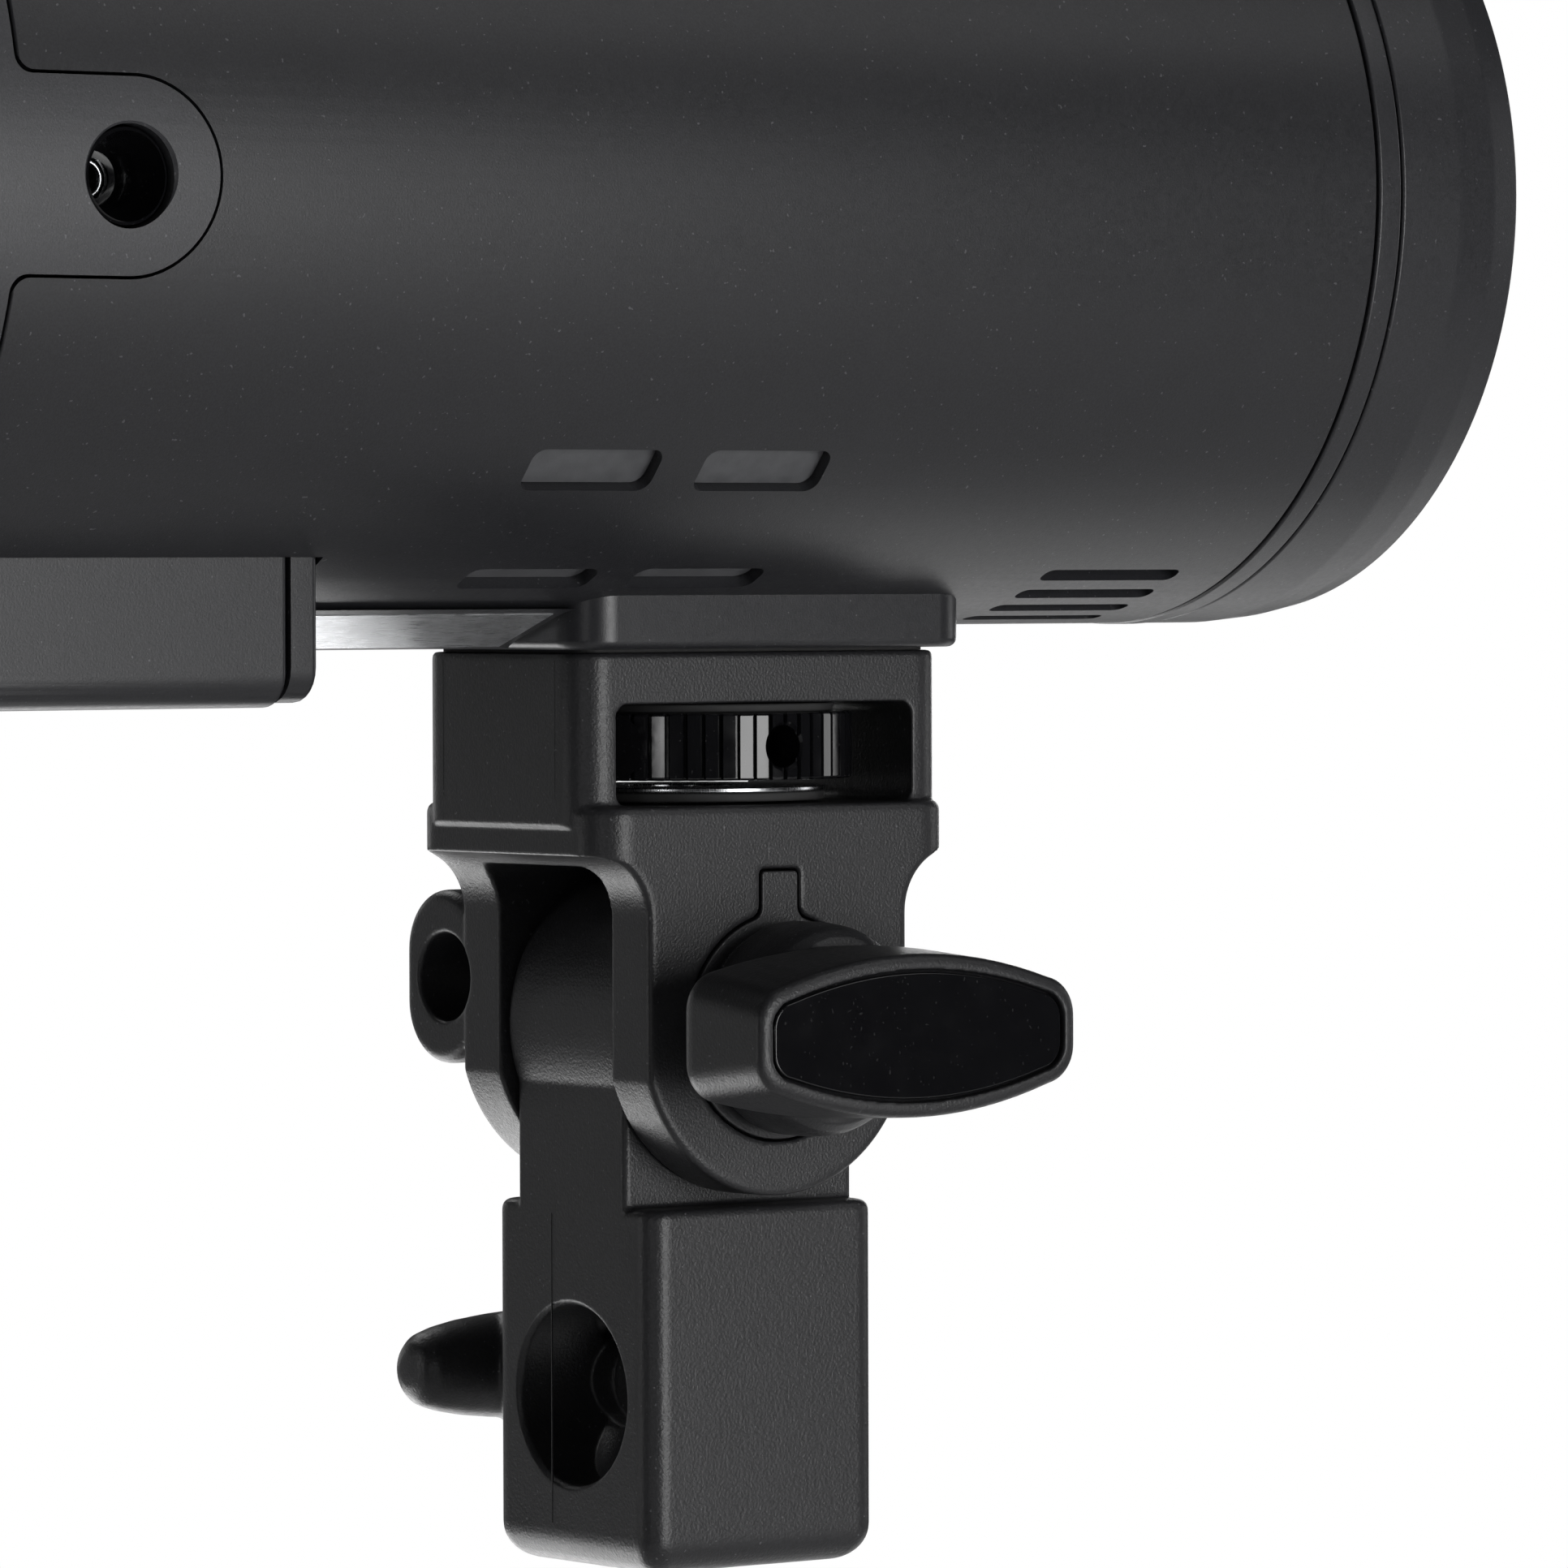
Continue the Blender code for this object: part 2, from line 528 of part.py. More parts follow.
def vent_cutters(radius):
    cutters = []
    for x_from, x_to, angle_from, angle_to in VENTS:
        for side in (1, -1):
            angle = math.radians((angle_from + angle_to) / 2)
            if side < 0:
                angle = math.pi - angle
            width = radius * math.radians(angle_to - angle_from)
            at = ((x_from + x_to) / 2, radius * math.cos(angle), TUBE_Z + radius * math.sin(angle))
            slot = prism("vent_slot", rounded(x_to - x_from, width, 0.8 * MM, 1), 7 * MM, at, "+Z")
            slot.rotation_euler = (angle - math.pi / 2, 0, 0)
            cutters.append(slot)
    return cutters


def main_housing(head):
    shell = ring(
        "main_housing", TUBE_R, TUBE_R - WALL, SEAM_X + GAP, TUBE_FRONT, tube_at(0), "+X", TUBE_STEPS,
    )
    pad_top = 42.2 * MM
    pad = prism(
        "foot_pad", rounded(2 * PAD_HALF_X, 2 * PAD_HALF_Y, 4 * MM), pad_top - PAD_LOW,
        (0, 0, (pad_top + PAD_LOW) / 2), "+Z",
    )
    keel = prism("keel", KEEL, KEEL_FRONT - KEEL_BACK, ((KEEL_BACK + KEEL_FRONT) / 2, 0, 0), "+X")
    join(shell, pad, keel)
    notch = prism("tab_notch", tab_outline(GAP), 100 * MM, (0, 0, 0), "-Y")
    half_y, top = PACK_HALF_Y + GAP, PACK_HIGH + GAP
    bay = box("bay_cutout", (REAR_X - 5 * MM, -half_y, 0), (BAY_LIP_FRONT + GAP, half_y, top))
    insert = rod("insert_seat", 7.3 * MM, 30 * MM, 50 * MM, (0, 0, 0), "+Z")
    pins = [rod("pad_pin_hole", 1.8 * MM, 30 * MM, 38.8 * MM, (x, 0, 0), "+Z", 12) for x in (-PIN_X, PIN_X)]
    cut(shell, notch, bay, insert, *pins, *vent_cutters(TUBE_R - 1 * MM))
    return keep(shell, PLASTIC, head)


def insulation_sleeve(head):
    """Thin liner that keeps fingers off the high-voltage parts behind the vents."""
    sleeve = ring(
        "insulation_sleeve", SLEEVE_R, SLEEVE_R - 0.9 * MM, -40.9 * MM, 49 * MM, tube_at(0), "+X", 32,
    )
    clear = box("pad_clearance", (-24 * MM, -16.2 * MM, 30 * MM), (24 * MM, 16.2 * MM, 60 * MM))
    return keep(cut(sleeve, clear), LINER, head)


def panel_outline(radius, chord_z):
    """A disc with its lower part cut off straight, in (Y, Z) from the tube axis."""
    low = chord_z - TUBE_Z
    start = math.degrees(math.asin(low / radius))
    return arc(0, 0, radius, start, 180 - start, 24)


def rear_openings():
    """Holes through the rear wall: display, dial, keys, sensor and screws."""
    holes = [prism(
        "display_hole", rounded(DISPLAY_W + 2 * GAP, DISPLAY_H + 2 * GAP, 1.5 * MM, 3), 20 * MM,
        (REAR_X, 0, DISPLAY_Z), "-X",
    )]
    holes.append(rod("dial_hole", 3.3 * MM, -10 * MM, 10 * MM, (REAR_X, 0, DIAL_Z), "+X"))
    for y, z in KEYS.values():
        holes.append(rod("key_hole", KEY_R + GAP, -10 * MM, 10 * MM, (REAR_X, y, z), "+X", 12))
    for y, z in SCREW_SPOTS:
        holes.append(rod("screw_hole", 1.5 * MM, -10 * MM, 10 * MM, (REAR_X, y, z), "+X", 8))
    holes.append(rod("sensor_hole", 2.3 * MM, -10 * MM, 10 * MM, (REAR_X, 0, SENSOR_Z), "+X", 10))
    return holes


def rear_housing(head):
    """Cup with two tabs that reach forward along the sides; the pack slides out beneath it."""
    edge = 4.0 * MM
    inner = TUBE_R - WALL
    corner = arc(TUBE_R - edge, REAR_X + edge, edge, 0, -90, 4)
    front = TAB_X + TAB_R + 2 * MM
    profile = [(TUBE_R, front)] + corner + [(0, REAR_X), (0, REAR_INSIDE), (inner, REAR_INSIDE), (inner, front)]
    cup = turned("rear_housing", profile, tube_at(0), "+X", TUBE_STEPS, closed=True)
    ahead = box("ahead_of_seam", (SEAM_X, -50 * MM, 0), (front + 5 * MM, 50 * MM, 2 * TUBE_Z))
    cut(cup, cut(ahead, prism("tab_shape", tab_outline(), 110 * MM, (0, 0, 0), "-Y")))
    recess = prism(
        "panel_recess", panel_outline(PANEL_R + GAP, PANEL_CHORD_Z - GAP), 10 * MM,
        (REAR_FLOOR - 5 * MM, 0, TUBE_Z), "-X",
    )
    half_y, top = PACK_HALF_Y + GAP, PACK_HIGH + GAP
    bay = box("rear_bay_cutout", (REAR_X - 5 * MM, -half_y, 0), (-90 * MM, half_y, top))
    jack = rod("jack_hole", JACK_R + GAP, 30 * MM, 50 * MM, (JACK_X, 0, TAB_Z), "-Y")
    around_port = rounded(10.6 * MM, 4.6 * MM, 2.0 * MM, 3)
    port = prism("port_hole", around_port, 20 * MM, (JACK_X, 40 * MM, TAB_Z), "-Y")
    cut(cup, recess, bay, jack, port, *rear_openings())
    return keep(cup, PLASTIC, head)


def control_panel(head):
    thickness = 1.5 * MM
    plate = prism(
        "control_panel", panel_outline(PANEL_R, PANEL_CHORD_Z), thickness,
        (REAR_FLOOR - GAP - thickness / 2, 0, TUBE_Z), "-X",
    )
    return keep(cut(plate, *rear_openings()), GLOSS, head)


def rear_fittings(head):
    glass = rounded(DISPLAY_W, DISPLAY_H, 1.2 * MM, 3)
    keep(prism("display_window", glass, 1.2 * MM, (-124.1 * MM, 0, DISPLAY_Z), "-X"), GLASS, head)
    half_w, half_h = DISPLAY_W / 2 - 1 * MM, DISPLAY_H / 2 - 1 * MM
    display = box(
        "display_module", (-123.2 * MM, -half_w, DISPLAY_Z - half_h), (-118.6 * MM, half_w, DISPLAY_Z + half_h),
    )
    keep(display, GLOSS, head)
    dome = [(0, 1.9), (1.2, 1.5), (2.0, 0.3), (2.0, -6.0), (0, -6.0)]
    profile = [(r * MM, h * MM) for r, h in dome]
    keep(turned("slave_sensor", profile, (-124.5 * MM, 0, SENSOR_Z), "-X", 16), SENSOR, head)
    pan_head = [(0, 1.6), (1.9, 1.6), (2.1, 0.3), (1.2, 0.3), (1.2, -16.0), (0, -16.0)]
    profile = [(r * MM, h * MM) for r, h in pan_head]
    wide, thin = 1.4 * MM, 0.3 * MM
    for i, (y, z) in enumerate(SCREW_SPOTS):
        screw = turned(f"rear_screw_{i + 1}", profile, (-124.8 * MM, y, z), "-X", 16)
        slot = box("driver_slot", (-128 * MM, y - wide, z - thin), (-125.7 * MM, y + wide, z + thin))
        keep(cut(screw, slot), STEEL, head)
    board = prism("control_board", panel_outline(34 * MM, 61 * MM), 1.6 * MM, (-112 * MM, 0, TUBE_Z), "-X")
    for y, z in SCREW_SPOTS:
        cut(board, rod("board_screw_hole", 1.5 * MM, -5 * MM, 5 * MM, (-112 * MM, y, z), "+X", 12))
    keep(board, BOARD, head)


def side_ports(head):
    """Sync jack in the near tab, its throat tapering inwards, and charging port in the far tab."""
    throat = [(0, 30.0), (0, 31.0), (1.75, 31.0), (1.75, 35.6), (3.8, 40.2)]
    profile = [(JACK_R, 40.2 * MM), (JACK_R, 30.0 * MM)] + [(r * MM, y * MM) for r, y in throat]
    keep(turned("sync_jack", profile, (JACK_X, 0, TAB_Z), "-Y", 16, closed=True), GLOSS, head)
    port = rounded(9.8 * MM, 3.8 * MM, 1.7 * MM, 3)
    shell = prism("charge_port", port, 9 * MM, (JACK_X, 35.6 * MM, TAB_Z), "-Y")
    opening = rounded(8.4 * MM, 2.5 * MM, 1.2 * MM, 3)
    mouth = prism("port_mouth", opening, 9 * MM, (JACK_X, 37.6 * MM, TAB_Z), "-Y")
    keep(cut(shell, mouth), STEEL, head)


def battery_bay(head):
    """Inverted tray that the pack slides in, with the lip that stops its nose."""
    tray = box("battery_bay", (-120.7 * MM, -23.9 * MM, 20 * MM), (BAY_LIP_FRONT, 23.9 * MM, 58.1 * MM))
    inside = rod("inside_tube", TUBE_R - WALL - GAP, -130 * MM, 0, tube_at(0), "+X", TUBE_STEPS)
    boolean(tray, inside, "INTERSECT")
    half_y = PACK_HALF_Y + GAP
    cut(tray, box("pack_space", (-130 * MM, -half_y, 0), (BAY_LIP_BACK, half_y, PACK_HIGH + 0.4 * MM)))
    lip = prism(
        "bay_lip", rounded(2 * PACK_HALF_Y, 24 * MM, 3 * MM, 3), BAY_LIP_FRONT - BAY_LIP_BACK,
        ((BAY_LIP_BACK + BAY_LIP_FRONT) / 2, 0, PACK_LOW + 12.4 * MM), "+X",
    )
    join(tray, lip)
    hole = box("contact_hole", (-62 * MM, -8.3 * MM, 44.7 * MM), (-50 * MM, 8.3 * MM, 51.3 * MM))
    keep(cut(tray, hole), PLASTIC, head)
    contacts = box("battery_contacts", (-59.7 * MM, -8 * MM, 45 * MM), (-54.5 * MM, 8 * MM, 51 * MM))
    half = 0.8 * MM
    for y in (-4.5 * MM, 0, 4.5 * MM):
        cut(contacts, box("contact_groove", (-62 * MM, y - half, 44 * MM), (-58.9 * MM, y + half, 52 * MM)))
    keep(contacts, BRASS, head)


def battery_pack(parent):
    """Case, lid and two round cells. Positions are from the tilt axis."""
    length = PACK_FRONT - REAR_X
    middle = (PACK_FRONT + REAR_X) / 2
    high = 53.2 * MM
    case = prism(
        "battery_case",
        arc(PACK_HALF_Y - 3 * MM, PACK_LOW + 3 * MM, 3 * MM, -90, 0, 4)
        + [(PACK_HALF_Y, high), (-PACK_HALF_Y, high)]
        + arc(-PACK_HALF_Y + 3 * MM, PACK_LOW + 3 * MM, 3 * MM, 180, 270, 4),
        length, (middle, 0, 0), "+X",
    )
    inside = box(
        "case_inside", (REAR_X + 3.5 * MM, -PACK_HALF_Y + 2 * MM, PACK_LOW + 2 * MM),
        (PACK_FRONT - 1.8 * MM, PACK_HALF_Y - 2 * MM, 60 * MM),
    )
    scoop_y = PACK_HALF_Y + SCOOP_R - 1.4 * MM
    scoops = [
        rod("finger_scoop", SCOOP_R, -7 * MM, 7 * MM, (SCOOP_X, y, SCOOP_Z), "+Z", 48)
        for y in (-scoop_y, scoop_y)
    ]
    around_latch = rounded(14.6 * MM, 5.6 * MM, 2.0 * MM, 3)
    latch = prism("latch_hole", around_latch, 12 * MM, (REAR_X, 0, LATCH_Z), "-X")
    keep(cut(case, inside, *scoops, latch), PLASTIC, parent)
    lid = box("battery_lid", (REAR_X, -PACK_HALF_Y, high + GAP), (PACK_FRONT, PACK_HALF_Y, PACK_HIGH))
    keep(soften(lid, 0.8 * MM, 1), PLASTIC, parent)
    for name, y in (("battery_cell_near", -CELL_Y), ("battery_cell_far", CELL_Y)):
        keep(rod(name, CELL_R, 0, CELL_LENGTH, (-121.2 * MM, y, CELL_Z), "+X"), SLEEVING, parent)


def battery_latch(parent):
    """Push button in the pack's rear face, placed from its own centre."""
    cap = prism("battery_latch", rounded(14 * MM, 5 * MM, 1.8 * MM, 3), 2.8 * MM, (0.4 * MM, 0, 0), "-X")
    keep(soften(cap, 0.4 * MM, 1), RUBBER, parent)


# ---- inside the head -----------------------------------------------------------------------

def fan_frame(head):
    frame = prism("fan_frame", rounded(40 * MM, 40 * MM, 3 * MM, 3), 10 * MM, tube_at(-47 * MM), "+X")
    cut(frame, rod("fan_throat", 18.6 * MM, -10 * MM, 10 * MM, tube_at(-47 * MM), "+X", 28))
    hub = rod("fan_motor", 8 * MM, -43.7 * MM, -42 * MM, tube_at(0), "+X")
    for i in range(3):
        strut = box("fan_strut", (-0.85 * MM, -1.2 * MM, 5 * MM), (0.85 * MM, 1.2 * MM, 19.5 * MM))
        strut.location = tube_at(-42.85 * MM)
        strut.data.transform(Matrix.Translation((0, 0, 12.25 * MM)))
        strut.rotation_euler = (math.radians(120 * i + 15), 0, 0)
        join(hub, strut)
    return keep(join(frame, hub), PLASTIC, head)


def fan_rotor(parent):
    hub = rod("fan_rotor", 8 * MM, -3.2 * MM, 3.0 * MM, (0, 0, 0), "+X")
    for i in range(BLADES):
        blade = box("fan_blade", (-2.6 * MM, -0.5 * MM, -5.4 * MM), (2.6 * MM, 0.5 * MM, 5.4 * MM))
        blade.data.transform(Matrix.Translation((0, 0, 12.4 * MM)))
        blade.rotation_euler = turn_about_spoke(360 / BLADES * i, 35)
        blade.location = (0, 0, 0)
        join(hub, blade)
    return keep(hub, GLOSS, parent)


def turn_about_spoke(around, pitch):
    """Rotation of a blade: pitched about its own spoke, then carried round the X axis."""
    turn = Matrix.Rotation(math.radians(around), 3, "X") @ Matrix.Rotation(math.radians(pitch), 3, "Z")
    return turn.to_euler()


def electronics(head):
    for name, y in (("capacitor_near", -15 * MM), ("capacitor_far", 15 * MM)):
        at = (0, y, 86 * MM)
        can = [(0, 9.5), (12.0, 9.5), (12.5, 9.0), (12.5, -37.5), (12.0, -38.0), (0, -38.0)]
        keep(turned(name, [(r * MM, h * MM) for r, h in can], at, "+X", 18), SLEEVING, head)
    keep(box("power_board", (-38 * MM, -28 * MM, 62 * MM), (9.5 * MM, 28 * MM, 63.6 * MM)), BOARD, head)
    wall = rod("bulkhead", 37.2 * MM, 12 * MM, 14 * MM, tube_at(0), "+X", 24)
    wires = [rod("wire_hole", 3 * MM, 10 * MM, 16 * MM, (0, y, TUBE_Z), "+X", 16) for y in (-27 * MM, 27 * MM)]
    clear = box("foot_clearance", (0, -16 * MM, 30 * MM), (20 * MM, 16 * MM, 43 * MM))
    keep(cut(wall, clear, *wires), LINER, head)
    base = turned(
        "lamp_base",
        [(17 * MM, 22 * MM), (17 * MM, 14.3 * MM), (7.5 * MM, 14.3 * MM), (7.5 * MM, 22 * MM)],
        tube_at(0), "+X", 20, closed=True,
    )
    for y in (-13 * MM, 13 * MM):
        cut(base, rod("lamp_leg_hole", 3.0 * MM, 18 * MM, 30 * MM, (0, y, TUBE_Z - 3.8 * MM), "+X", 10))
    keep(base, CERAMIC, head)


def light_parts(head):
    flash_tube(head)
    mount = rod("modelling_light", 7.2 * MM, 14.3 * MM, 27 * MM, tube_at(0), "+X", 24)
    profile = [(0, 30.5 * MM), (3.4 * MM, 29.6 * MM), (5.2 * MM, 26.5 * MM), (0, 26.5 * MM)]
    keep(join(mount, turned("led_dome", profile, tube_at(0), "+X", 24)), LED, head)
    outer = [(17.5, 22.6), (27.5, 30.0), (33.0, 42.0), (36.3, 56.2)]
    inner = [(r - 0.9, x + 0.1) for r, x in outer]
    profile = [(r * MM, x * MM) for r, x in reversed(outer)] + [(r * MM, x * MM) for r, x in inner]
    keep(turned("reflector_dish", profile, tube_at(0), "+X", 24, closed=True), ALUMINIUM, head)
    keep(rod("front_glass", 37.6 * MM, 56.7 * MM, 58.7 * MM, tube_at(0), "+X", 36), GLASS, head)


def flash_tube(head):
    """The flash tube: a hoop open at the bottom, with both ends turned back into the lamp base."""
    radius, thick = 13 * MM, 2.6 * MM
    hoop = [
        (36 * MM, radius * math.cos(a), radius * math.sin(a))
        for a in (math.radians(190 - 200 * i / 12) for i in range(13))
    ]
    leg_far = [(33 * MM, radius, -3.4 * MM), (28 * MM, radius, -3.8 * MM), (18.5 * MM, radius, -3.8 * MM)]
    leg_near = [(x, -y, z) for x, y, z in reversed(leg_far)]
    curve = bpy.data.curves.new("flash_tube", "CURVE")
    curve.dimensions = "3D"
    curve.bevel_depth = thick
    curve.bevel_resolution = 1
    curve.use_fill_caps = True
    points = leg_near + hoop + leg_far
    spline = curve.splines.new("POLY")
    spline.points.add(len(points) - 1)
    for point, co in zip(spline.points, points):
        point.co = (*co, 1)
    obj = bpy.data.objects.new("flash_tube", curve)
    obj.location = tube_at(0)
    obj.parent = head
    curve.materials.append(material(GLASS))
    PARTS.objects.link(obj)


def front_end(head):
    trim = ring("front_ring", TUBE_R + 0.1 * MM, 37.0 * MM, RING_BACK, RING_FRONT, tube_at(0), "+X", TUBE_STEPS)
    keep(trim, PLASTIC, head)
    profile = [
        (RIM_R - 1.0 * MM, COLLAR_FRONT), (RIM_R, COLLAR_FRONT - 1.0 * MM), (TUBE_R, COLLAR_FRONT - 6 * MM),
        (TUBE_R, COLLAR_BACK), (COLLAR_IN_R, COLLAR_BACK), (COLLAR_IN_R, COLLAR_FRONT),
    ]
    collar = turned("front_collar", profile, tube_at(0), "+X", TUBE_STEPS, closed=True)
    for angle in LUG_ANGLES:
        lug = box("bayonet_lug", (-1.25 * MM, -8 * MM, -1.4 * MM), (1.25 * MM, 8 * MM, 1.4 * MM))
        turn = math.radians(angle)
        radius = 37.6 * MM
        lug.location = (RELEASE_X + 0.8 * MM, radius * math.cos(turn), TUBE_Z + radius * math.sin(turn))
        lug.rotation_euler = (turn - math.pi / 2, 0, 0)
        join(collar, lug)
    cut(collar, rod("release_hole", 3.3 * MM, 30 * MM, 50 * MM, (RELEASE_X, 0, TUBE_Z), "+Y", 12))
    keep(collar, PLASTIC, head)


def mount_release(parent):
    """Sprung pin in the collar wall that locks a reflector or softbox."""
    pin = [(0, 1.2), (2.4, 1.0), (3.0, 0.4), (3.0, -2.4), (0, -2.4)]
    profile = [(r * MM, h * MM) for r, h in pin]
    keep(turned("mount_release", profile, (0, 0, 0), "+Y", 20), RUBBER, parent)


# ---- rear controls -------------------------------------------------------------------------

def control_dial(parent):
    """Knurled dial round the set key, with the hollow shaft that turns the encoder."""
    flutes = 20
    outline = []
    for i in range(2 * flutes):
        angle = math.pi * i / flutes
        radius = DIAL_R - 0.35 * MM * (0.5 - 0.5 * math.cos(flutes * angle))
        outline.append((radius * math.cos(angle), radius * math.sin(angle)))
    dial = prism("control_dial", outline, 5.5 * MM, (-3.15 * MM, 0, 0), "-X")
    shaft = rod("dial_shaft", 3.0 * MM, -1 * MM, 8 * MM, (0, 0, 0), "+X")
    bore = rod("set_key_bore", 1.8 * MM, -20 * MM, 20 * MM, (0, 0, 0), "+X", 16)
    recess = rod("set_key_recess", 5.3 * MM, -20 * MM, -3.6 * MM, (0, 0, 0), "+X")
    keep(cut(join(dial, shaft), bore, recess), PLASTIC, parent)


def set_button(parent):
    """Button in the middle of the dial, on a stem through the dial's shaft."""
    cap = [(0, 6.2), (4.2, 6.2), (5.0, 5.6), (5.0, 4.4), (1.5, 4.4), (1.5, -9.6), (0, -9.6)]
    profile = [(r * MM, h * MM) for r, h in cap]
    keep(turned("set_button", profile, (0, 0, 0), "-X", 16), GLOSS, parent)


def push_key(name, parent, spec):
    """A key cap with a collar behind the rear wall, so that it can't fall out."""
    flange = KEY_R + 1 * MM
    top, back = 0.9 * MM, -4.4 * MM
    profile = [
        (0, top), (KEY_R - 0.6 * MM, top), (KEY_R, 0.4 * MM), (KEY_R, back), (flange, back),
        (flange, back - 1 * MM), (0, back - 1 * MM),
    ]
    keep(turned(name, profile, (0, 0, 0), "-X", 12), spec, parent)


# ---- assembly ------------------------------------------------------------------------------

def build():
    root = body("root", (0, 0, 0))
    stand_receiver(root)
    clamp_insert(root)
    tilt_bushing(root)
    stand_lock(body("stand_lock", (0, 0, TILT_HEIGHT + LOCK_Z), root))

    head = body("head", (0, 0, TILT_HEIGHT), root)
    tilt_yoke(head)
    tilt_hardware(head)
    foot_hardware(head)
    main_housing(head)
    insulation_sleeve(head)
    rear_housing(head)
    control_panel(head)
    rear_fittings(head)
    side_ports(head)
    battery_bay(head)
    fan_frame(head)
    electronics(head)
    light_parts(head)
    front_end(head)

    tilt_lever(body("tilt_lever", (0, 0, 0), head))
    thumbwheel(body("thumbwheel", (0, 0, 0), head))
    umbrella_lock(body("umbrella_lock", (UMBRELLA_LOCK_X, 0, UMBRELLA_Z), head))
    pack = body("battery", (0, 0, 0), head)
    battery_pack(pack)
    battery_latch(body("battery_latch", (REAR_X, 0, LATCH_Z), pack))
    fan_rotor(body("fan_rotor", tube_at(-47.8 * MM), head))
    mount_release(body("mount_release", (RELEASE_X, TUBE_R, TUBE_Z), head))
    control_dial(body("control_dial", (REAR_X, 0, DIAL_Z), head))
    set_button(body("set_button", (REAR_X, 0, DIAL_Z), head))
    for name, (y, z) in KEYS.items():
        push_key(name, body(name, (REAR_X, y, z), head), SENSOR if name == "power_button" else RUBBER)


clear_scene()
PARTS = new_collection("monolight_strobe")
CUTTERS = new_collection("cutters", hidden=True)
build()
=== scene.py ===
"""Looks of the monolight strobe: finer pieces, materials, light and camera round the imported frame."""

import json
import math

import bmesh
import bpy
from mathutils import Matrix, Vector


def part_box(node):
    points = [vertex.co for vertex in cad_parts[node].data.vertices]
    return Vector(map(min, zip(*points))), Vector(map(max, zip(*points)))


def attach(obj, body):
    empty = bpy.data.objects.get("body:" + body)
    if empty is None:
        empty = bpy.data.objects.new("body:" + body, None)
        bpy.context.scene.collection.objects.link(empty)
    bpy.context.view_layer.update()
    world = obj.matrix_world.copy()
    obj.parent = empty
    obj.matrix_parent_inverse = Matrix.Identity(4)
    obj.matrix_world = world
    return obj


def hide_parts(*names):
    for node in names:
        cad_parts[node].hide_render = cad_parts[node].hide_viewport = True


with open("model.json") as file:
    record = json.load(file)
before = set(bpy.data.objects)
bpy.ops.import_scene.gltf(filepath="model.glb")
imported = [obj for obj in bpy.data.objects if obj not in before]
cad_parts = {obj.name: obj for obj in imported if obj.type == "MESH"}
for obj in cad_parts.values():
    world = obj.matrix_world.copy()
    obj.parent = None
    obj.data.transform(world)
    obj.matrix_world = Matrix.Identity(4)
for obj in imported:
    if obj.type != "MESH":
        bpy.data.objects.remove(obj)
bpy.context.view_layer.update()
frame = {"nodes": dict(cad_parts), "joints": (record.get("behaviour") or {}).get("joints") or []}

# One millimetre in the frame's metres.
MM = 0.001

# ---- places read from the frame -------------------------------------------------------------

JOINTS = {joint["name"]: joint for joint in frame["joints"]}
TILT_Z = JOINTS["head_tilt"]["pos_m"][2]
LOCK_Z = JOINTS["stand_lock_turn"]["pos_m"][2]
DIAL_Z = JOINTS["dial_turn"]["pos_m"][2]
COLLAR_LOW, COLLAR_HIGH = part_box("front_collar")
TUBE_Z = (COLLAR_LOW.z + COLLAR_HIGH.z) / 2
TUBE_R = (COLLAR_HIGH.z - COLLAR_LOW.z) / 2
REAR_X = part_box("rear_housing")[0].x
RECEIVER_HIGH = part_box("stand_receiver")[1]

# The head's measures in millimetres: outside radius, wall, rear end, and the seam between its two shells.
TUBE_RADIUS = TUBE_R / MM
TUBE_WALL = 2.0
REAR = REAR_X / MM
SEAM = -100.0
SEAM_GAP = 0.3
TUBE_STEPS = 192

# Rotations that lay a shape's own Z along one of the frame's axes.
TURN = {
    "+X": (math.radians(90), 0, math.radians(90)),
    "-X": (math.radians(90), 0, math.radians(-90)),
    "+Y": (math.radians(-90), 0, 0),
    "-Y": (math.radians(90), 0, 0),
    "+Z": (0, 0, 0),
}


def up(x, y, z):
    """A point in millimetres from the tilt axis, in the frame's metres."""
    return (x * MM, y * MM, TILT_Z + z * MM)


def on_tube(x=0.0):
    """A point on the tube's axis, x in millimetres."""
    return (x * MM, 0, TUBE_Z)


TILT_AXIS = up(0, 0, 0)


# ---- outlines, in millimetres ---------------------------------------------------------------

def arc(cx, cy, radius, start, end, steps):
    """Points along a circle from one angle to another, in degrees."""
    angles = [math.radians(start + (end - start) * i / steps) for i in range(steps + 1)]
    return [(cx + radius * math.cos(a), cy + radius * math.sin(a)) for a in angles]


def fillet(corners, radius, steps=6):
    """A closed outline with each corner rounded; a corner may carry its own radius as a third value."""
    made = []
    for i, corner in enumerate(corners):
        here = Vector(corner[:2])
        size = corner[2] if len(corner) > 2 else radius
        back = (Vector(corners[i - 1][:2]) - here).normalized()
        ahead = (Vector(corners[(i + 1) % len(corners)][:2]) - here).normalized()
        half = back.angle(ahead) / 2
        if size == 0:
            made.append(tuple(here))
            continue
        centre = here + (back + ahead).normalized() * (size / math.sin(half))
        spoke = here + back * (size / math.tan(half)) - centre
        sweep = math.copysign(math.pi - 2 * half, -back.cross(ahead))
        for k in range(steps + 1):
            turn = Matrix.Rotation(sweep * k / steps, 2)
            made.append(tuple(centre + turn @ spoke))
    return made


def rounded(width, height, radius, steps=6):
    """A rectangle about the origin with round corners."""
    x, y = width / 2, height / 2
    return fillet([(x, y), (-x, y), (-x, -y), (x, -y)], radius, steps)


def counter_clockwise(outline):
    """The outline, turned round if it runs clockwise."""
    area = sum(outline[i - 1][0] * y - x * outline[i - 1][1] for i, (x, y) in enumerate(outline))
    return list(outline) if area > 0 else list(reversed(outline))


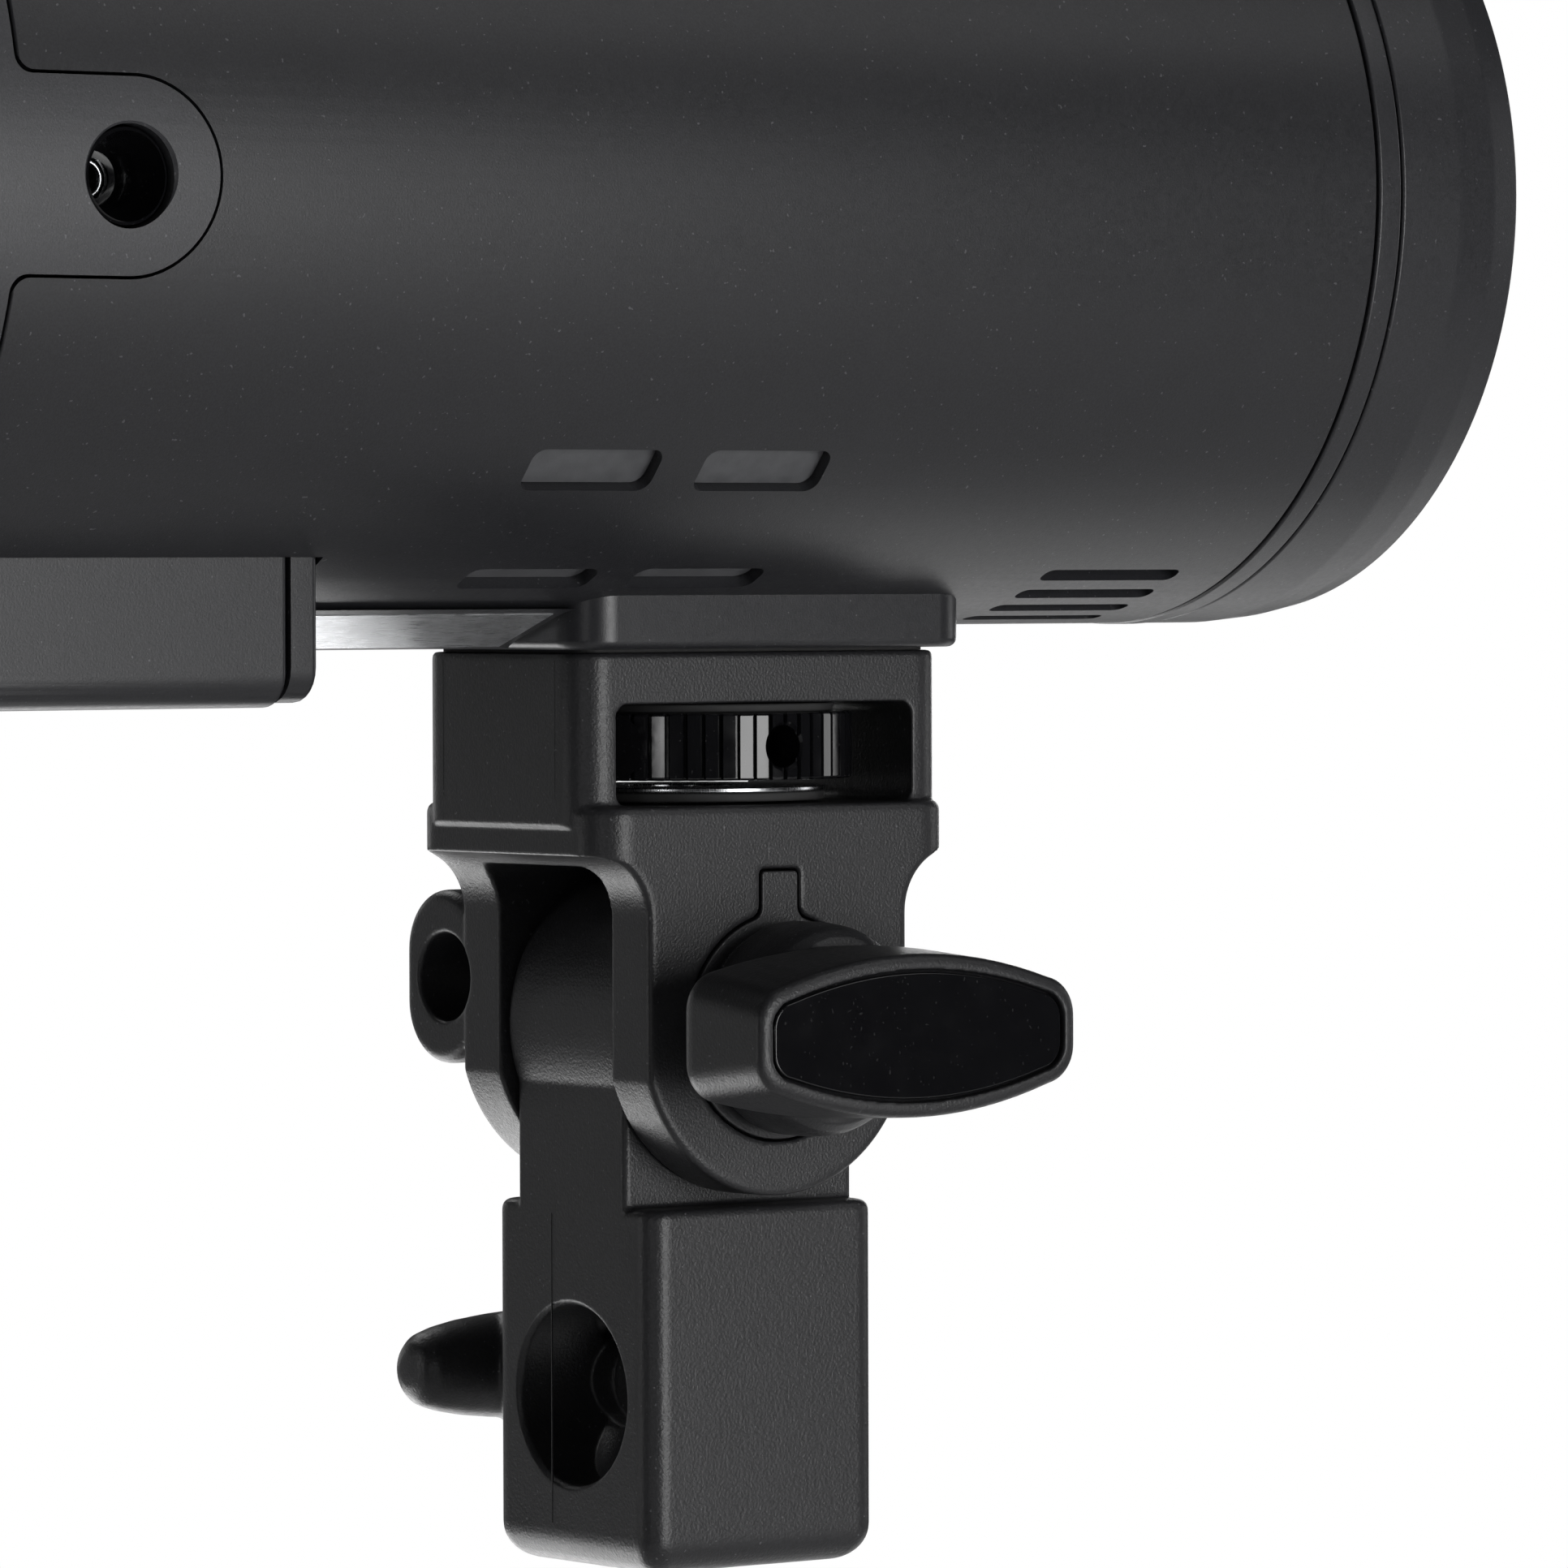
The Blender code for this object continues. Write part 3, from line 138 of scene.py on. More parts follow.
def inset(outline, amount):
    """The outline moved inwards, each point along its own mitre."""
    points = [Vector(point) for point in outline]
    made = []
    for i, here in enumerate(points):
        a = (here - points[i - 1]).normalized()
        b = (points[(i + 1) % len(points)] - here).normalized()
        normal_a, normal_b = Vector((-a.y, a.x)), Vector((-b.y, b.x))
        mitre = (normal_a + normal_b) / (1 + normal_a.dot(normal_b))
        made.append(tuple(here + mitre * amount))
    return made


# ---- solids ---------------------------------------------------------------------------------

def from_rings(name, rings, at, axis, wrap=False):
    """A skin over rings of points, in millimetres: capped at both ends, or wrapped round to the start."""
    bm = bmesh.new()
    rows = [[bm.verts.new(point) for point in ring] for ring in rings]
    pairs = list(zip(rows, rows[1:]))
    if wrap:
        pairs.append((rows[-1], rows[0]))
    for low, high in pairs:
        count = len(low)
        for i in range(count):
            bm.faces.new((low[i - 1], low[i], high[i], high[i - 1]))
    if not wrap:
        bm.faces.new(rows[0])
        bm.faces.new(rows[-1])
    bmesh.ops.remove_doubles(bm, verts=bm.verts, dist=0.0005)
    bmesh.ops.dissolve_degenerate(bm, edges=bm.edges, dist=0.0002)
    bmesh.ops.recalc_face_normals(bm, faces=bm.faces)
    mesh = bpy.data.meshes.new(name)
    bm.to_mesh(mesh)
    bm.free()
    turn = Matrix.Translation(at) @ euler(TURN[axis]) @ Matrix.Scale(MM, 4)
    mesh.transform(turn)
    obj = bpy.data.objects.new(name, mesh)
    bpy.context.scene.collection.objects.link(obj)
    return obj


def euler(angles):
    """The rotation about X, then Y, then Z."""
    x, y, z = angles
    return Matrix.Rotation(z, 4, "Z") @ Matrix.Rotation(y, 4, "Y") @ Matrix.Rotation(x, 4, "X")


def rims(low, high, low_r, high_r, steps):
    """Levels from low to high as (how far the outline is drawn in, height), with both rims rounded over."""
    low_rim, high_rim = [(0.0, low)], [(0.0, high)]
    angles = [math.pi / 2 * k / steps for k in range(steps + 1)]
    if low_r:
        low_rim = [(low_r * (1 - math.sin(a)), low + low_r * (1 - math.cos(a))) for a in angles]
    if high_r:
        high_rim = [(high_r * (1 - math.cos(a)), high - high_r * (1 - math.sin(a))) for a in angles]
    return low_rim + high_rim


def slab(name, outline, low, high, at, axis, low_r=0.0, high_r=0.0, steps=5):
    """A flat outline between two heights, its two rims rounded over."""
    outline = counter_clockwise(outline)
    rings = []
    for amount, height in rims(low, high, low_r, high_r, steps):
        rings.append([(x, y, height) for x, y in inset(outline, amount)])
    return from_rings(name, rings, at, axis)


def cushion(name, width, height, corner, low, high, at, axis, low_r, high_r, steps=8):
    """A rounded bar between two heights whose rims may be rounder than its corners."""
    rings = []
    for amount, z in rims(low, high, low_r, high_r, steps):
        corner_now = max(corner - 0.5 * amount, 0.3)
        ring = rounded(width - 2 * amount, height - 2 * amount, corner_now, 8)
        rings.append([(x, y, z) for x, y in ring])
    return from_rings(name, rings, at, axis)


def turned(name, profile, at, axis, steps=64):
    """A closed (radius, height) profile turned about the axis; points at radius 0 lie on it."""
    rings = []
    for k in range(steps):
        a = 2 * math.pi * k / steps
        rings.append([(r * math.cos(a), r * math.sin(a), h) for r, h in profile])
    return from_rings(name, rings, at, axis, wrap=True)


def rod(name, radius, low, high, at, axis, steps=48, rim=0.0):
    """A round bar, its two rims rounded if `rim` is given."""
    profile = [(0, high), (radius, high), (radius, low), (0, low)]
    if rim:
        profile = fillet([(0, high, 0), (radius, high, rim), (radius, low, rim), (0, low, 0)], rim, 4)
    return turned(name, profile, at, axis, steps)


def pipe(name, outer, inner, low, high, at, axis, steps=64, rim=0.2):
    """A round tube with rounded rims."""
    corners = [(outer, high), (outer, low), (inner, low), (inner, high)]
    return turned(name, fillet(corners, rim, 3), at, axis, steps)


def block(name, low, high, at=(0, 0, 0), rim=0.0):
    """A box between two corners in millimetres from `at`."""
    outline = [(low[0], low[1]), (high[0], low[1]), (high[0], high[1]), (low[0], high[1])]
    return slab(name, outline, low[2], high[2], at, "+Z", rim, rim)


def bake(obj):
    """Replaces an object's mesh by what its modifiers make of it."""
    bpy.context.view_layer.update()
    evaluated = obj.evaluated_get(bpy.context.evaluated_depsgraph_get())
    mesh = bpy.data.meshes.new_from_object(evaluated)
    mesh.name = obj.name
    obj.modifiers.clear()
    obj.data = mesh
    return obj


def combine(operation, target, others):
    """One boolean operation of the target with each of the others, which are then removed."""
    for other in others:
        modifier = target.modifiers.new("combine", "BOOLEAN")
        modifier.operation = operation
        modifier.object = other
    bake(target)
    for other in others:
        bpy.data.objects.remove(other, do_unlink=True)
    return target


def cut(target, *others):
    """The target with the others cut out of it."""
    return combine("DIFFERENCE", target, others)


def join(target, *others):
    """The target made one solid with the others."""
    return combine("UNION", target, others)


def moulded(obj, voxel=0.22, passes=6, keep=0.3):
    """Runs every edge of a solid into a small moulded radius."""
    remesh = obj.modifiers.new("remesh", "REMESH")
    remesh.mode = "VOXEL"
    remesh.voxel_size = voxel * MM
    ease = obj.modifiers.new("ease", "SMOOTH")
    ease.factor = 0.5
    ease.iterations = passes
    thin = obj.modifiers.new("thin", "DECIMATE")
    thin.ratio = keep
    return bake(obj)


def show(obj, body, finish, slot, *nodes, sharp=32):
    """Gives a piece its finish, lets it ride on its body and stand for its CAD nodes."""
    obj.data.materials.clear()
    obj.data.materials.append(finish)
    obj.data.shade_smooth()
    obj.data.set_sharp_from_angle(angle=math.radians(sharp))
    weigh = obj.modifiers.new("weigh", "WEIGHTED_NORMAL")
    weigh.keep_sharp = True
    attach(obj, body)
    if nodes:
        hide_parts(*nodes)
    return obj


# ---- materials ------------------------------------------------------------------------------

def new_material(name, colour, roughness, metallic=0.0):
    """A material with one shader; returns it with its node tree and that shader."""
    made = bpy.data.materials.new(name)
    made.use_nodes = True
    tree = made.node_tree
    shader = tree.nodes["Principled BSDF"]
    shader.inputs["Base Color"].default_value = (*colour, 1.0)
    shader.inputs["Roughness"].default_value = roughness
    shader.inputs["Metallic"].default_value = metallic
    return made, tree, shader


def noise(tree, size, detail=2.0, stretch=(1, 1, 1)):
    """Noise whose features are about `size` millimetres across, stretched along the object's axes."""
    place = tree.nodes.new("ShaderNodeTexCoord")
    scale = tree.nodes.new("ShaderNodeMapping")
    scale.inputs["Scale"].default_value = [1 / (size * MM * s) for s in stretch]
    texture = tree.nodes.new("ShaderNodeTexNoise")
    texture.inputs["Scale"].default_value = 1.0
    texture.inputs["Detail"].default_value = detail
    tree.links.new(place.outputs["Object"], scale.inputs["Vector"])
    tree.links.new(scale.outputs["Vector"], texture.inputs["Vector"])
    return texture.outputs["Fac"]


def spread(tree, value, low, high, from_low=0.3, from_high=0.7):
    """Maps a noise value on to a range."""
    node = tree.nodes.new("ShaderNodeMapRange")
    node.inputs["From Min"].default_value = from_low
    node.inputs["From Max"].default_value = from_high
    node.inputs["To Min"].default_value = low
    node.inputs["To Max"].default_value = high
    tree.links.new(value, node.inputs["Value"])
    return node.outputs["Result"]


def mix(tree, factor, dark, light):
    """Mixes two colours, each a plain colour or the output of a node."""
    node = tree.nodes.new("ShaderNodeMix")
    node.data_type = "RGBA"
    tree.links.new(factor, node.inputs["Factor"])
    for socket, colour in ((node.inputs[6], dark), (node.inputs[7], light)):
        if isinstance(colour, tuple):
            socket.default_value = (*colour, 1.0)
        else:
            tree.links.new(colour, socket)
    return node.outputs[2]


def vary_colour(tree, shader, factor, dark, light):
    """Gives the shader a base colour that runs from dark to light with the factor."""
    tree.links.new(mix(tree, factor, dark, light), shader.inputs["Base Color"])


def vary_roughness(tree, shader, value, low, high):
    """Gives the shader a roughness that runs from low to high with a noise value."""
    tree.links.new(spread(tree, value, low, high), shader.inputs["Roughness"])


def bump(tree, shader, height, depth):
    """Relief of the given depth in millimetres."""
    node = tree.nodes.new("ShaderNodeBump")
    node.inputs["Strength"].default_value = 1.0
    node.inputs["Distance"].default_value = depth * MM
    tree.links.new(height, node.inputs["Height"])
    tree.links.new(node.outputs["Normal"], shader.inputs["Normal"])


def plastic(name, colour, grain, depth, rough):
    """Charcoal moulding: spark-eroded grain, faint mottling and a few pale dust specks."""
    made, tree, shader = new_material(name, colour, rough)
    dark, light = (tuple(c * k for c in colour) for k in (0.93, 1.07))
    mottled = mix(tree, spread(tree, noise(tree, 6.0, 3.0), 0, 1), dark, light)
    pits = spread(tree, noise(tree, grain * 1.3, 2.0), 0, 0.45, 0.35, 0.65)
    mottled = mix(tree, pits, mottled, tuple(c * 1.9 for c in colour))
    specks = spread(tree, noise(tree, 0.35, 0.0), 0, 0.5, 0.80, 0.84)
    vary_colour(tree, shader, specks, mottled, (0.16, 0.16, 0.17))
    vary_roughness(tree, shader, noise(tree, 0.6, 3.0), rough - 0.03, rough + 0.03)
    bump(tree, shader, noise(tree, grain, 2.0), depth)
    return made


def gloss(name, colour, rough=0.1):
    """Polished black with the lightest orange peel and dust."""
    made, tree, shader = new_material(name, colour, rough)
    specks = spread(tree, noise(tree, 0.3, 0.0), 0, 0.35, 0.79, 0.83)
    vary_colour(tree, shader, specks, colour, (0.07, 0.07, 0.07))
    vary_roughness(tree, shader, noise(tree, 3.0, 4.0), rough * 0.7, rough * 1.5)
    bump(tree, shader, noise(tree, 1.2, 1.0), 0.004)
    return made


def metal(name, colour, rough, stretch):
    """Turned or brushed metal, its tool marks drawn out along one axis."""
    made, tree, shader = new_material(name, colour, rough, 1.0)
    marks = noise(tree, 0.12, 2.0, stretch)
    dark = tuple(c * 0.8 for c in colour)
    vary_colour(tree, shader, spread(tree, noise(tree, 2.0, 3.0), 0, 1), dark, colour)
    vary_roughness(tree, shader, marks, rough * 0.75, rough * 1.35)
    bump(tree, shader, marks, 0.006)
    return made


def matt(name, light, dark, rough, size=1.5):
    """A matt material with soft mottling: rubber, ceramic, board, liner or phosphor."""
    made, tree, shader = new_material(name, light, rough)
    vary_colour(tree, shader, spread(tree, noise(tree, size, 3.0), 0, 1), dark, light)
    vary_roughness(tree, shader, noise(tree, size, 2.0), rough - 0.05, rough + 0.08)
    bump(tree, shader, noise(tree, 0.2, 1.0), 0.01)
    return made


def glass(name, rough, tint):
    """Clear or frosted glass with a slightly uneven surface."""
    made, tree, shader = new_material(name, tint, rough)
    shader.inputs["Transmission Weight"].default_value = 1.0
    shader.inputs["IOR"].default_value = 1.46
    vary_roughness(tree, shader, noise(tree, 4.0, 3.0), rough * 0.8, rough * 1.2)
    bump(tree, shader, noise(tree, 0.8, 1.0), 0.008)
    return made


SATIN = plastic("satin_plastic", (0.0165, 0.0167, 0.0190), 0.16, 0.012, 0.35)
# Lighter copy of the same charcoal plastic for the rear housing; its extra lightness is painted light.
REAR_SATIN_PAINTED_LIGHT = plastic("rear_satin_plastic_painted_light", (0.033, 0.0333, 0.0370), 0.16, 0.012, 0.38)
# Lighter copy of the same charcoal plastic for the front ring and collar; its extra lightness is painted light.
FRONT_SATIN_PAINTED_LIGHT = plastic("front_satin_plastic_painted_light", (0.022, 0.0222, 0.0250), 0.16, 0.012, 0.35)
GRAINED = plastic("grained_plastic", (0.017, 0.017, 0.0186), 0.26, 0.045, 0.40)
GLOSS = gloss("polished_black", (0.006, 0.006, 0.007))
SMOKED = gloss("smoked_window", (0.010, 0.011, 0.013), 0.06)
STEEL = metal("turned_steel", (0.62, 0.63, 0.65), 0.22, (1, 1, 12))
BRASS = metal("turned_brass", (0.62, 0.46, 0.22), 0.25, (12, 1, 1))
FOIL = metal("silver_label", (0.72, 0.73, 0.75), 0.30, (20, 1, 1))
REFLECTOR = metal("polished_reflector", (0.82, 0.82, 0.84), 0.16, (1, 8, 1))
RUBBER = matt("key_rubber", (0.030, 0.030, 0.031), (0.022, 0.022, 0.022), 0.7)
LINER = matt("grey_liner", (0.105, 0.106, 0.112), (0.080, 0.081, 0.086), 0.55)
BOARD = matt("green_board", (0.025, 0.17, 0.08), (0.012, 0.09, 0.04), 0.45)
SLEEVING = matt("shrink_sleeve", (0.02, 0.03, 0.075), (0.012, 0.018, 0.045), 0.3)
CERAMIC = matt("white_ceramic", (0.80, 0.78, 0.72), (0.70, 0.68, 0.62), 0.5)
PHOSPHOR = matt("led_phosphor", (0.85, 0.62, 0.10), (0.75, 0.50, 0.06), 0.4, 0.5)
RED = matt("sensor_red", (0.32, 0.012, 0.012), (0.20, 0.006, 0.006), 0.15)
FROSTED = glass("frosted_glass", 0.30, (0.93, 0.95, 0.95))
CLEAR = glass("tube_glass", 0.06, (0.97, 0.96, 0.93))


# ---- bracket --------------------------------------------------------------------------------

# Millimetres from the tilt axis.
CHEEK_Y = 15.1  # outer faces of the cheeks
SLOT_Y = 8.95  # walls of the slot between them
CHEEK_R = 15.8  # their round lower end
BLOCK_TOP = 35.1
UMBRELLA_AT = up(0, 18.4, 4)
UMBRELLA_LOCK_AT = up(6, 0, 4)


def make_receiver():
    """Socket block with round corners and feet, the tongue above it, and the two crossing bores."""
    half_x = 13.4
    half_y = RECEIVER_HIGH.y / MM
    tongue_r = RECEIVER_HIGH.x / MM
    stud_r = 8.5
    body = cushion("receiver_block", 2 * half_x, 2 * half_y, 2.3, 0, 34.2, (0, 0, 0), "+Z", 3.4, 0.9)
    side = -math.degrees(math.acos(half_x / tongue_r))
    outline = [(-half_x, -24), (half_x, -24)] + arc(0, 0, tongue_r, side, 180 - side, 60)
    tongue = slab("tongue", outline, -8.6, 8.6, TILT_AXIS, "-Y", 0.6, 0.6)
    join(body, tongue)
    flare = [(0, 15.4), (10.6, 15.4), (stud_r, 12.9), (stud_r, -12.9), (10.6, -15.4), (0, -15.4)]
    cross = turned("cross_bore", flare, up(0, 0, -34.8), "+X", 96)
    mouth = [(0, 29), (stud_r, 29), (stud_r, 1.2), (11.2, -1.5), (0, -1.5)]
    socket = turned("socket_bore", mouth, (0, 0, 0), "+Z", 96)
    seat = rod("insert_bore", 4.8, 5, 15, (0, 0, LOCK_Z), "+Y")
    pivot = rod("pivot_bore", 5.3, -12, 12, TILT_AXIS, "+Y")
    cut(body, cross, socket, seat, pivot)
    show(moulded(body, 0.2, 5), "receiver", GRAINED, "moulded_plastic", "stand_receiver", sharp=70)
    fin = block("receiver_parting_line", (-13.44, 3.0, 4), (-13.3, 3.12, 33.2))
    show(fin, "receiver", GRAINED, "moulded_plastic")


def make_clamp_insert():
    """Brass bush in the far wall, with a threaded bore."""
    thread = []
    for k in range(9):
        height = 12.3 - 0.4 * k
        thread += [(3.12, height), (2.96, height - 0.2)]
    outside = [(4.35, 12.5), (4.5, 12.3), (4.5, 9.0), (4.3, 8.7), (3.2, 8.7)]
    profile = outside + thread[::-1] + [(3.2, 12.5)]
    bush = turned("brass_insert", profile, (0, 0, LOCK_Z), "+Y", 48)
    show(bush, "receiver", BRASS, "brass", "clamp_insert")


def threaded(name, radius, low, high, pitch, at, axis, tip=0.6):
    """A screw shank: ridges at the thread's pitch, and a chamfered tip at its low end."""
    depth = 0.3 * pitch
    ridges = []
    height = low + tip + pitch
    while height < high - pitch:
        ridges += [(radius - depth, height), (radius, height + pitch / 2)]
        height += pitch
    profile = [(0, low), (radius - tip, low), (radius - depth, low + tip)] + ridges
    profile += [(radius - depth, high), (0, high)]
    return turned(name, profile, at, axis, 40)


def make_stand_lock():
    """T-bar handle, tapered to its two ends, and its screw."""
    at = (0, 0, LOCK_Z)
    stem = [(0, 25), (6.4, 25), (6.4, 20), (7.0, 16), (7.0, 13.6), (6.6, 13.2), (0, 13.2)]
    hub = turned("stand_lock_bar", stem, at, "+Y", 96)
    tip = [(0, 14.0), (1.6, 13.9), (2.6, 13.5), (3.5, 12.5), (4.1, 10.6), (4.6, 8.0), (5.0, 4.5), (5.3, 0.0)]
    both_ends = tip + [(r, -h) for r, h in tip[-2::-1]]
    bar = turned("bar", both_ends, (0, 26 * MM, LOCK_Z), "+X", 96)
    cut(join(hub, bar), rod("screw_seat", 2.95, 10, 24, at, "+Y"))
    show(moulded(hub, 0.22, 14), "stand_lock", GRAINED, "moulded_plastic", "stand_lock_handle", sharp=70)
    screw = threaded("stand_lock_thread", 2.65, 8.7, 23.5, 0.8, at, "+Y")
    show(screw, "stand_lock", STEEL, "steel", "stand_lock_screw")


def cheek_outline():
    """Side view of the bracket: round below the axis, flared out to the band above it."""
    flare = 5.9
    band_x = 21.0
    drop = math.degrees(math.acos(CHEEK_Y / CHEEK_R))
    right = arc(band_x, 16.3 - flare, flare, 180, 90, 16)
    left = [(-x, z) for x, z in reversed(right)]
    below = arc(0, 0, CHEEK_R, 180 + drop, 360 - drop, 60)
    return below + right + [(band_x, 22.0), (-band_x, 22.0)] + left


def insert_outline(grow=0.0):
    """The keyed insert: a disc with a key standing up from it, filleted where they meet."""
    radius, half, top = 10.5 + grow, 2.1 + grow, 14.6 + grow
    root = 1.3
    angle = math.degrees(math.asin((half + root) / (radius + root)))
    base = (radius + root) * math.cos(math.radians(angle))
    right = arc(half + root, base, root, 270 - angle, 180, 6)
    left = [(-x, z) for x, z in reversed(right)]
    disc = arc(0, 0, radius, 90 + angle, 450 - angle, 72)
    cap = fillet([(half, top - 2), (half, top), (-half, top), (-half, top - 2)], 0.4, 3)
    return disc + right + cap[4:-4] + left


def pin_holes(low, high):
    """Holes for the two locating pins, before and behind the foot stud."""
    return [rod("pin_hole", 1.8, low, high, up(x, 0, 0), "+Z", 24) for x in (-15, 15)]


def yoke_body():
    """Block, band with two cheeks, and umbrella boss, joined into one solid."""
    body = slab("tilt_bracket", rounded(43.0, 26.0, 3.4, 10), 19, BLOCK_TOP, TILT_AXIS, "+Z", 0, 0.5)
    cheeks = slab("cheeks", cheek_outline(), -CHEEK_Y, CHEEK_Y, TILT_AXIS, "-Y", 0.6, 0.6)
    plan = slab("plan", rounded(42.0, 2 * CHEEK_Y, 4.0, 10), -20, 20.9, TILT_AXIS, "+Z", 0, 0.9)
    combine("INTERSECT", cheeks, [plan])
    boss = slab("boss", rounded(12.0, 16.6, 5.9, 14), -14.9, 14.9, up(0, 19, 4), "+X", 1.2, 1.2)
    return join(body, cheeks, boss)


def yoke_cutters():
    """What is cut out of the bracket: slot, thumbwheel's window, bores and pockets."""
    slot_corners = [(-SLOT_Y, -30, 0), (SLOT_Y, -30, 0), (SLOT_Y, 15.2, 1.6), (-SLOT_Y, 15.2, 1.6)]
    slot = slab("slot", fillet(slot_corners, 0), -30, 30, TILT_AXIS, "+X")
    window = slab("window", rounded(34.7, 9.5, 1.3), -20, 20, up(0, 0, 25.55), "-Y")
    bore = [(0, 16), (5.4, 16), (4.2, 14.6), (4.2, -14.6), (5.4, -16), (0, -16)]
    umbrella = turned("umbrella_bore", bore, UMBRELLA_AT, "+X", 72)
    lock = rod("umbrella_lock_bore", 2.5, 18.4, 30, UMBRELLA_LOCK_AT, "+Y", 32)
    stud = rod("stud_bore", 5.3, 28, 40, TILT_AXIS, "+Z")
    pocket = slab("insert_pocket", insert_outline(0.22), 11.4, 20, TILT_AXIS, "-Y")
    bolt = rod("bolt_bore", 3.3, -12, 13.6, TILT_AXIS, "+Y", 32)
    nut = rod("nut_pocket", 6.1, 5, 13.6, TILT_AXIS, "+Y", 6)
    return [slot, window, umbrella, lock, stud, *pin_holes(31.2, 40), pocket, bolt, nut]


def make_yoke():
    """The bracket, and two thin mould lines down the rear of its block."""
    body = cut(yoke_body(), *yoke_cutters())
    show(moulded(body, 0.22, 5), "head", GRAINED, "moulded_plastic", "tilt_yoke", sharp=70)
    for name, y in (("near", -SLOT_Y), ("far", SLOT_Y)):
        low, high = (-21.52, y - 0.05, 21.6), (-20.9, y + 0.05, 34.4)
        fin = block(f"yoke_parting_line_{name}", low, high, TILT_AXIS)
        show(fin, "head", GRAINED, "moulded_plastic")


def make_tilt_hardware():
    """Keyed insert, washers, and the rubber pads under the thumbwheel's washer and the foot."""
    insert = slab("keyed_insert", insert_outline(), 11.7, CHEEK_Y, TILT_AXIS, "-Y", 0, 0.18)
    cut(insert, rod("bore", 3.3, 5, 20, TILT_AXIS, "-Y", 32))
    show(insert, "head", GRAINED, "moulded_plastic", "tilt_insert")
    washer = pipe("lever_washer", 9.4, 3.3, 15.4, 16.2, TILT_AXIS, "-Y", 96)
    show(washer, "head", STEEL, "steel", "tilt_washer")
    gasket = slab("foot_gasket", rounded(41.0, 24.0, 2.5), 35.12, 35.38, TILT_AXIS, "+Z")
    cut(gasket, rod("bore", 7.2, 30, 40, TILT_AXIS, "+Z"))
    show(gasket, "head", RUBBER, "key_rubber")
    spacer = pipe("washer_seat", 13.3, 5.2, 21.05, 21.9, TILT_AXIS, "+Z", 96)
    show(spacer, "head", RUBBER, "key_rubber")
    under = pipe("thumbwheel_washer", 13.5, 5.2, 21.92, 22.4, TILT_AXIS, "+Z", 96, 0.12)
    show(under, "head", STEEL, "steel", "wheel_washer")


def lever_outline(half_x, half_z, end_half_z, radius):
    """A barrel-sided bar, tallest at its middle, with round ends."""
    corner = arc(half_x - radius, end_half_z - radius, radius, 0, 80, 10)
    reach, foot = corner[-1]
    steps = 16
    crown = []
    for i in range(1, steps):
        x = reach * (1 - 2 * i / steps)
        crown.append((x, half_z - (half_z - foot) * (x / reach) ** 2))
    top = corner + crown + [(-x, z) for x, z in reversed(corner)]
    return top + [(-x, -z) for x, z in top]


def lever_bar(back, front):
    """The bar's skin: its ends grow taller towards the hub, its back rim is rounder than its front one."""
    rings = []
    for amount, y in rims(back, front, 2.8, 0.8, 6):
        flare = (front - y) / (front - back)
        middle_z = 7.5 + 0.6 * flare - amount
        end_z = 4.9 + 1.5 * flare - amount
        outline = lever_outline(18.4 - amount, middle_z, end_z, 3.4)
        rings.append([(x, z, y) for x, z in outline])
    return from_rings("clamp_lever", rings, TILT_AXIS, "-Y")


def make_lever():
    """Clamp lever: a hub that swells into a barrel-shaped bar, with a polished inlay in its face."""
    out = -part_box("tilt_lever")[0].y / MM
    bar = lever_bar(23.2, out)
    shoulder = [(0, 24.5), (8.6, 24.5), (9.4, 23.6), (9.8, 22.5), (10.0, 20.5)]
    foot = [(10.0, 16.9), (9.7, 16.5), (0, 16.5)]
    hub = turned("hub", shoulder + foot, TILT_AXIS, "-Y", 120)
    recess = slab("recess", lever_outline(16.95, 6.1, 3.75, 2.6), out - 1.2, out + 2, TILT_AXIS, "-Y")
    seat = rod("bolt_seat", 3.3, 10, 30.3, TILT_AXIS, "-Y", 32)
    cut(join(bar, hub), recess, seat)
    show(moulded(bar, 0.2, 6), "tilt_lever", GRAINED, "moulded_plastic", "tilt_lever", sharp=70)
    face = lever_outline(16.65, 5.8, 3.5, 2.4)
    inlay = slab("lever_face_inlay", face, out - 0.9, out - 0.2, TILT_AXIS, "-Y", 0, 0.2)
    show(inlay, "tilt_lever", GLOSS, "gloss_plastic", "lever_inlay")


def make_umbrella_lock():
    """Eight-lobed knob and its screw."""
    lobes = []
    for i in range(144):
        a = math.radians(2.5 * i)
        radius = 6.0 - 0.5 * math.cos(8 * a)
        lobes.append((radius * math.cos(a), radius * math.sin(a)))
    knob = slab("umbrella_lock_knob", lobes, 26.5, 35.5, UMBRELLA_LOCK_AT, "+Y", 0.7, 0.9)
    cut(knob, rod("seat", 2.3, 20, 33, UMBRELLA_LOCK_AT, "+Y", 32))
    show(knob, "umbrella_lock", GRAINED, "moulded_plastic", "umbrella_knob")
    screw = threaded("umbrella_lock_thread", 2.0, 22.9, 32.5, 0.7, UMBRELLA_LOCK_AT, "+Y", 0.5)
    show(screw, "umbrella_lock", STEEL, "steel", "umbrella_screw")


def wheel_outline(radius, grooves):
    """A circle with narrow grip grooves."""
    # One groove and half a land before it: degrees from the groove's middle, depth.
    groove = [(-2.4, 0.0), (-0.85, 0.0), (-0.35, 0.45), (0.35, 0.45), (0.85, 0.0)]
    outline = []
    for i in range(grooves):
        middle = 360 / grooves * i
        for turn, inward in groove:
            a = math.radians(middle + turn)
            outline.append(((radius - inward) * math.cos(a), (radius - inward) * math.sin(a)))
    return outline


